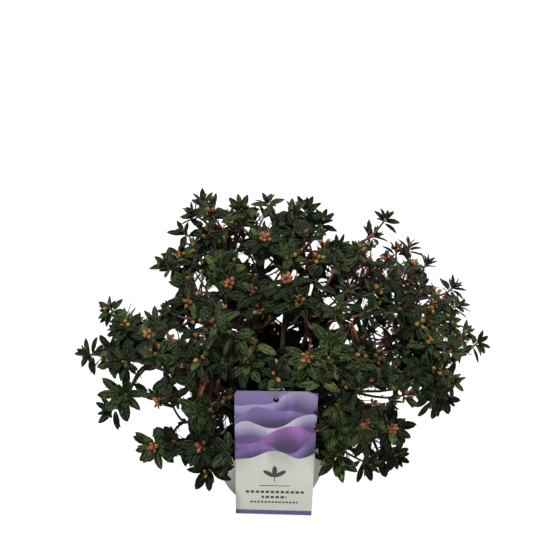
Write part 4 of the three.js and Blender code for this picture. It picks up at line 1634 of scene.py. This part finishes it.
def wave_picture(nodes, scaled, x, y):
    """The colour of the waves, and 1 where the picture is."""
    drift = nodes.math("SUBTRACT", nodes.noise(scaled, WAVE.drift_scale, 1), 0.5)
    drift = nodes.math("MULTIPLY", drift, WAVE.drift)
    lift = nodes.math("MULTIPLY_ADD", x, WAVE.slope, drift)
    edges = -PRINT.blur, PRINT.blur
    violet = nodes.tones(nodes.ramp(y, *PRINT.sky_heights), *PRINT.sky)
    for height, length, shift, light, dark in WAVES:
        below = below_crest(nodes, x, y, lift, height, length, shift)
        shade = nodes.tones(nodes.ramp(below, 0.0, WAVE.depth), light, dark)
        across = nodes.math("MULTIPLY", x, VEIN.across)
        fan = nodes.math("MULTIPLY_ADD", below, VEIN.fan, across)
        vein = nodes.math("SINE", nodes.math("MULTIPLY", fan, VEIN.spacing))
        shade = nodes.mix(nodes.ramp(vein, *VEIN.edges, 0.0, VEIN.depth), shade, linear(dark))
        violet = nodes.mix(nodes.ramp(below, *edges), violet, shade)
    under = nodes.ramp(below_crest(nodes, x, y, lift, *PICTURE_FOOT), *edges)
    return violet, nodes.math("SUBTRACT", 1.0, under)


def make_tag_print():
    """A print of violet waves over a pale card, with a sprig and rows of plain dashes."""
    material, nodes, shader = new_material("tag_print", 0.34, Coat_Weight=0.15)
    scaled = nodes.scaled(nodes.add("TexCoord").outputs["UV"], (TAG.width, TAG.length, 0.0))
    split = nodes.add("SeparateXYZ", {0: scaled}).outputs
    x, y = nodes.math("SUBTRACT", split[0], TAG.width / 2), split[1]
    violet, in_picture = wave_picture(nodes, scaled, x, y)
    paper = nodes.group(MOTTLE, Vector=scaled, Blotches=0.03, Grain=2.2)
    colour = nodes.mix(in_picture, nodes.tones(paper["Shade"], *PRINT.paper), violet)
    marks = []
    for height, half, thick, pitch in ROWS:
        row = box_mask(nodes, x, y, (0, height), (half, thick))
        if pitch:
            saw = nodes.math("FRACT", nodes.math("DIVIDE", x, pitch))
            row = nodes.math("MULTIPLY", row, nodes.ramp(saw, *DASH_EDGES))
        marks.append(row)
    for turn in PRINT.blades:
        marks.append(blade_mask(nodes, x, y, PRINT.sprig, math.radians(turn), *PRINT.blade_size))
    marks.append(box_mask(nodes, x, y, (PRINT.sprig[0], PRINT.sprig[1] - 3), (0.5, 3.4)))
    for mark in marks:
        colour = nodes.mix(mark, colour, linear(PRINT.ink))
    colour = nodes.mix(inside(nodes, y, PRINT.bar_height), colour, linear(PRINT.bar))
    nodes.link(colour, shader["Base Color"])
    bumped(nodes, shader, paper["Height"], 0.08, 0.0001)
    return material


# The card is cut into small faces, bowed below its head and twisted a little.
CARD = SimpleNamespace(cut=6, bow=2.2, bow_from=20, twist=1.4, corner_steps=6, hole_sides=28)


def make_tag():
    """A thin card with round upper corners and a punched hole, a little bowed and turned."""
    bm = bmesh.new()
    half, head, foot = TAG.width / 2, TAG.hole_drop, TAG.hole_drop - TAG.length
    bmesh.ops.create_grid(bm, x_segments=1, y_segments=1, size=1)
    for vert in bm.verts:
        at_head = vert.co.y > 0
        reach = half if at_head else half - TAG.taper
        vert.co = (vert.co.x * reach, head if at_head else foot, 0)
    upper = [vert for vert in bm.verts if vert.co.y > 0]
    bmesh.ops.bevel(
        bm, geom=upper, offset=TAG.corner, segments=CARD.corner_steps, profile=0.5,
        affect="VERTICES", material=-1,
    )
    bmesh.ops.delete(bm, geom=bm.faces[:], context="FACES_ONLY")
    bmesh.ops.create_circle(bm, segments=CARD.hole_sides, radius=TAG.hole)
    bmesh.ops.triangle_fill(bm, use_beauty=True, edges=bm.edges[:], normal=UP)
    for y in np.arange(foot + CARD.cut, head, CARD.cut):
        cut(bm, (0, y, 0), (0, 1, 0))
    for x in np.arange(CARD.cut - half, half, CARD.cut):
        cut(bm, (x, 0, 0), RIGHT)
    bmesh.ops.recalc_face_normals(bm, faces=bm.faces)
    bmesh.ops.solidify(bm, geom=bm.faces[:], thickness=TAG.thickness)
    bm.normal_update()
    print_map = bm.loops.layers.uv.new("UVMap")
    for face in bm.faces:
        face.material_index = 0 if face.normal.z > 0.5 else 1
        for loop in face.loops:
            place = loop.vert.co
            loop[print_map].uv = (place.x / TAG.width + 0.5, (place.y - foot) / TAG.length)
    for vert in bm.verts:
        down = min(0, vert.co.y + CARD.bow_from) / foot
        vert.co.z += CARD.bow * math.sin(math.pi * down) + CARD.twist * down**2 * vert.co.x / half
    turn = Matrix((RIGHT, card_up, card_out)).transposed().to_4x4()
    roll = Matrix.Rotation(TAG.roll, 4, "Z")
    bmesh.ops.transform(bm, matrix=Matrix.Translation(hole) @ turn @ roll, verts=bm.verts)
    mesh = mesh_of("tag_card", bm)
    mesh.shade_flat()
    add_piece(mesh, [make_tag_print(), card_plain], ["tag"])


def make_tie():
    """A long loop of clear-grey wire over the front bough, with its cross bar."""
    hook_radius = lerp(FRONT.bough, BOUGH.tip, FRONT.hook)
    top = HOOK.z + hook_radius + CLEAR + TIE.wire
    foot = hole.z + TAG.hole * math.cos(TAG.lean) - TIE.wire - CLEAR
    bm = bmesh.new()
    section = Matrix.Translation((TIE.bend, 0, 0)) @ Matrix.Rotation(math.pi / 2, 4, "X")
    bmesh.ops.create_circle(bm, segments=10, radius=TIE.wire, matrix=section)
    spin_round(bm, 36)
    far_half = [vert for vert in bm.verts if vert.co.y > 0]
    bmesh.ops.translate(bm, vec=(0, top - foot - 2 * TIE.bend, 0), verts=far_half)
    stand = Matrix(((0, 0, 1, HOOK.x), (1, 0, 0, HOOK.y), (0, 1, 0, foot + TIE.bend), (0, 0, 0, 1)))
    bmesh.ops.transform(bm, matrix=stand, verts=bm.verts)
    head = hole.z + TAG.hole_drop * math.cos(TAG.lean)
    lie = Matrix.Translation((HOOK.x, HOOK.y - TIE.bend, head + TIE.bar_rise))
    bar = bmesh.ops.create_cone(
        bm, cap_ends=True, segments=12, radius1=TIE.wire, radius2=TIE.wire, depth=TIE.bar,
        matrix=lie @ Matrix.Rotation(math.pi / 2, 4, "Y"),
    )
    edges = {edge for vert in bar["verts"] for edge in vert.link_edges}
    rims = [edge for edge in edges if edge.calc_face_angle(0) > 1]
    bmesh.ops.bevel(
        bm, geom=rims, offset=TIE.wire * 0.45, segments=2, profile=0.5, affect="EDGES", material=-1
    )
    bmesh.ops.recalc_face_normals(bm, faces=bm.faces)
    add_piece(mesh_of("tie_loop", bm), [tie_plastic], ["tie"])


make_tag()
make_tie()

# ---- Floor, light and camera ----

FLOOR_GLOW = SimpleNamespace(strength=1.15, share=0.86)
ROOM_GLOW = 0.07
# Each sun's side and height in degrees, the breadth that softens its shadows, and strength.
SUNS = {
    "key": (262, 53, 4, 5.0),
    "fill": (295, 24, 40, 0.4),
    "rear_left": (145, 34, 50, 3.0),
    "rear_right": (35, 34, 50, 3.0),
}


def make_floor():
    """A pale floor that shows little of the shade on it, as a lit studio table does."""
    bm = bmesh.new()
    bmesh.ops.create_grid(bm, x_segments=8, y_segments=8, size=6000)
    floor = bpy.data.objects.new("floor", mesh_of("floor", bm))
    bpy.context.scene.collection.objects.link(floor)
    material, nodes, shader = new_material("floor_pale", 0.9)
    shader["Base Color"].default_value = linear("#c4c4c3")
    grain = nodes.group(MOTTLE, Vector=nodes.object_place(), Blotches=3.0, Grain=60.0)
    bumped(nodes, shader, grain["Height"], 0.02, 0.0002)
    inputs = {"Color": (1, 1, 1, 1), "Strength": FLOOR_GLOW.strength}
    glow = nodes.add("Emission", inputs).outputs[0]
    seen = nodes.add("LightPath").outputs["Is Camera Ray"]
    share = nodes.math("MULTIPLY", seen, FLOOR_GLOW.share)
    plain = nodes.tree.nodes["Principled BSDF"].outputs[0]
    mixed = nodes.add("MixShader", {0: share, 1: plain, 2: glow}).outputs[0]
    nodes.link(mixed, nodes.tree.nodes["Material Output"].inputs["Surface"])
    floor.data.materials.append(material)


def add_sun(name, azimuth, height, breadth, strength):
    light = bpy.data.lights.new(name, "SUN")
    light.angle = math.radians(breadth)
    light.energy = strength
    lamp = bpy.data.objects.new(name, light)
    turn, rise = math.radians(azimuth), math.radians(height)
    level = Vector((math.cos(turn), math.sin(turn), 0))
    towards = level * math.cos(rise) + UP * math.sin(rise)
    lamp.rotation_euler = towards.to_track_quat("Z", "Y").to_euler()
    bpy.context.scene.collection.objects.link(lamp)


def light_the_room():
    world = bpy.data.worlds.new("studio")
    world.use_nodes = True
    nodes = Nodes(world.node_tree)
    seen = nodes.add("LightPath").outputs["Is Camera Ray"]
    back = world.node_tree.nodes["Background"].inputs
    back["Color"].default_value = (1, 1, 1, 1)
    nodes.link(nodes.ramp(seen, 0.0, 1.0, ROOM_GLOW, 1.0, False), back["Strength"])
    bpy.context.scene.world = world
    bpy.context.scene.view_settings.view_transform = "Standard"
    for name, values in SUNS.items():
        add_sun(name, *values)


def set_camera():
    camera = bpy.data.objects.new("camera", bpy.data.cameras.new("camera"))
    camera.data.lens = VIEW.lens
    camera.data.sensor_width = VIEW.sensor
    camera.location = view_eye * MM
    camera.rotation_euler = (math.pi / 2 - VIEW.pitch, 0, 0)
    bpy.context.scene.collection.objects.link(camera)
    bpy.context.scene.camera = camera


make_floor()
light_the_room()
set_camera()
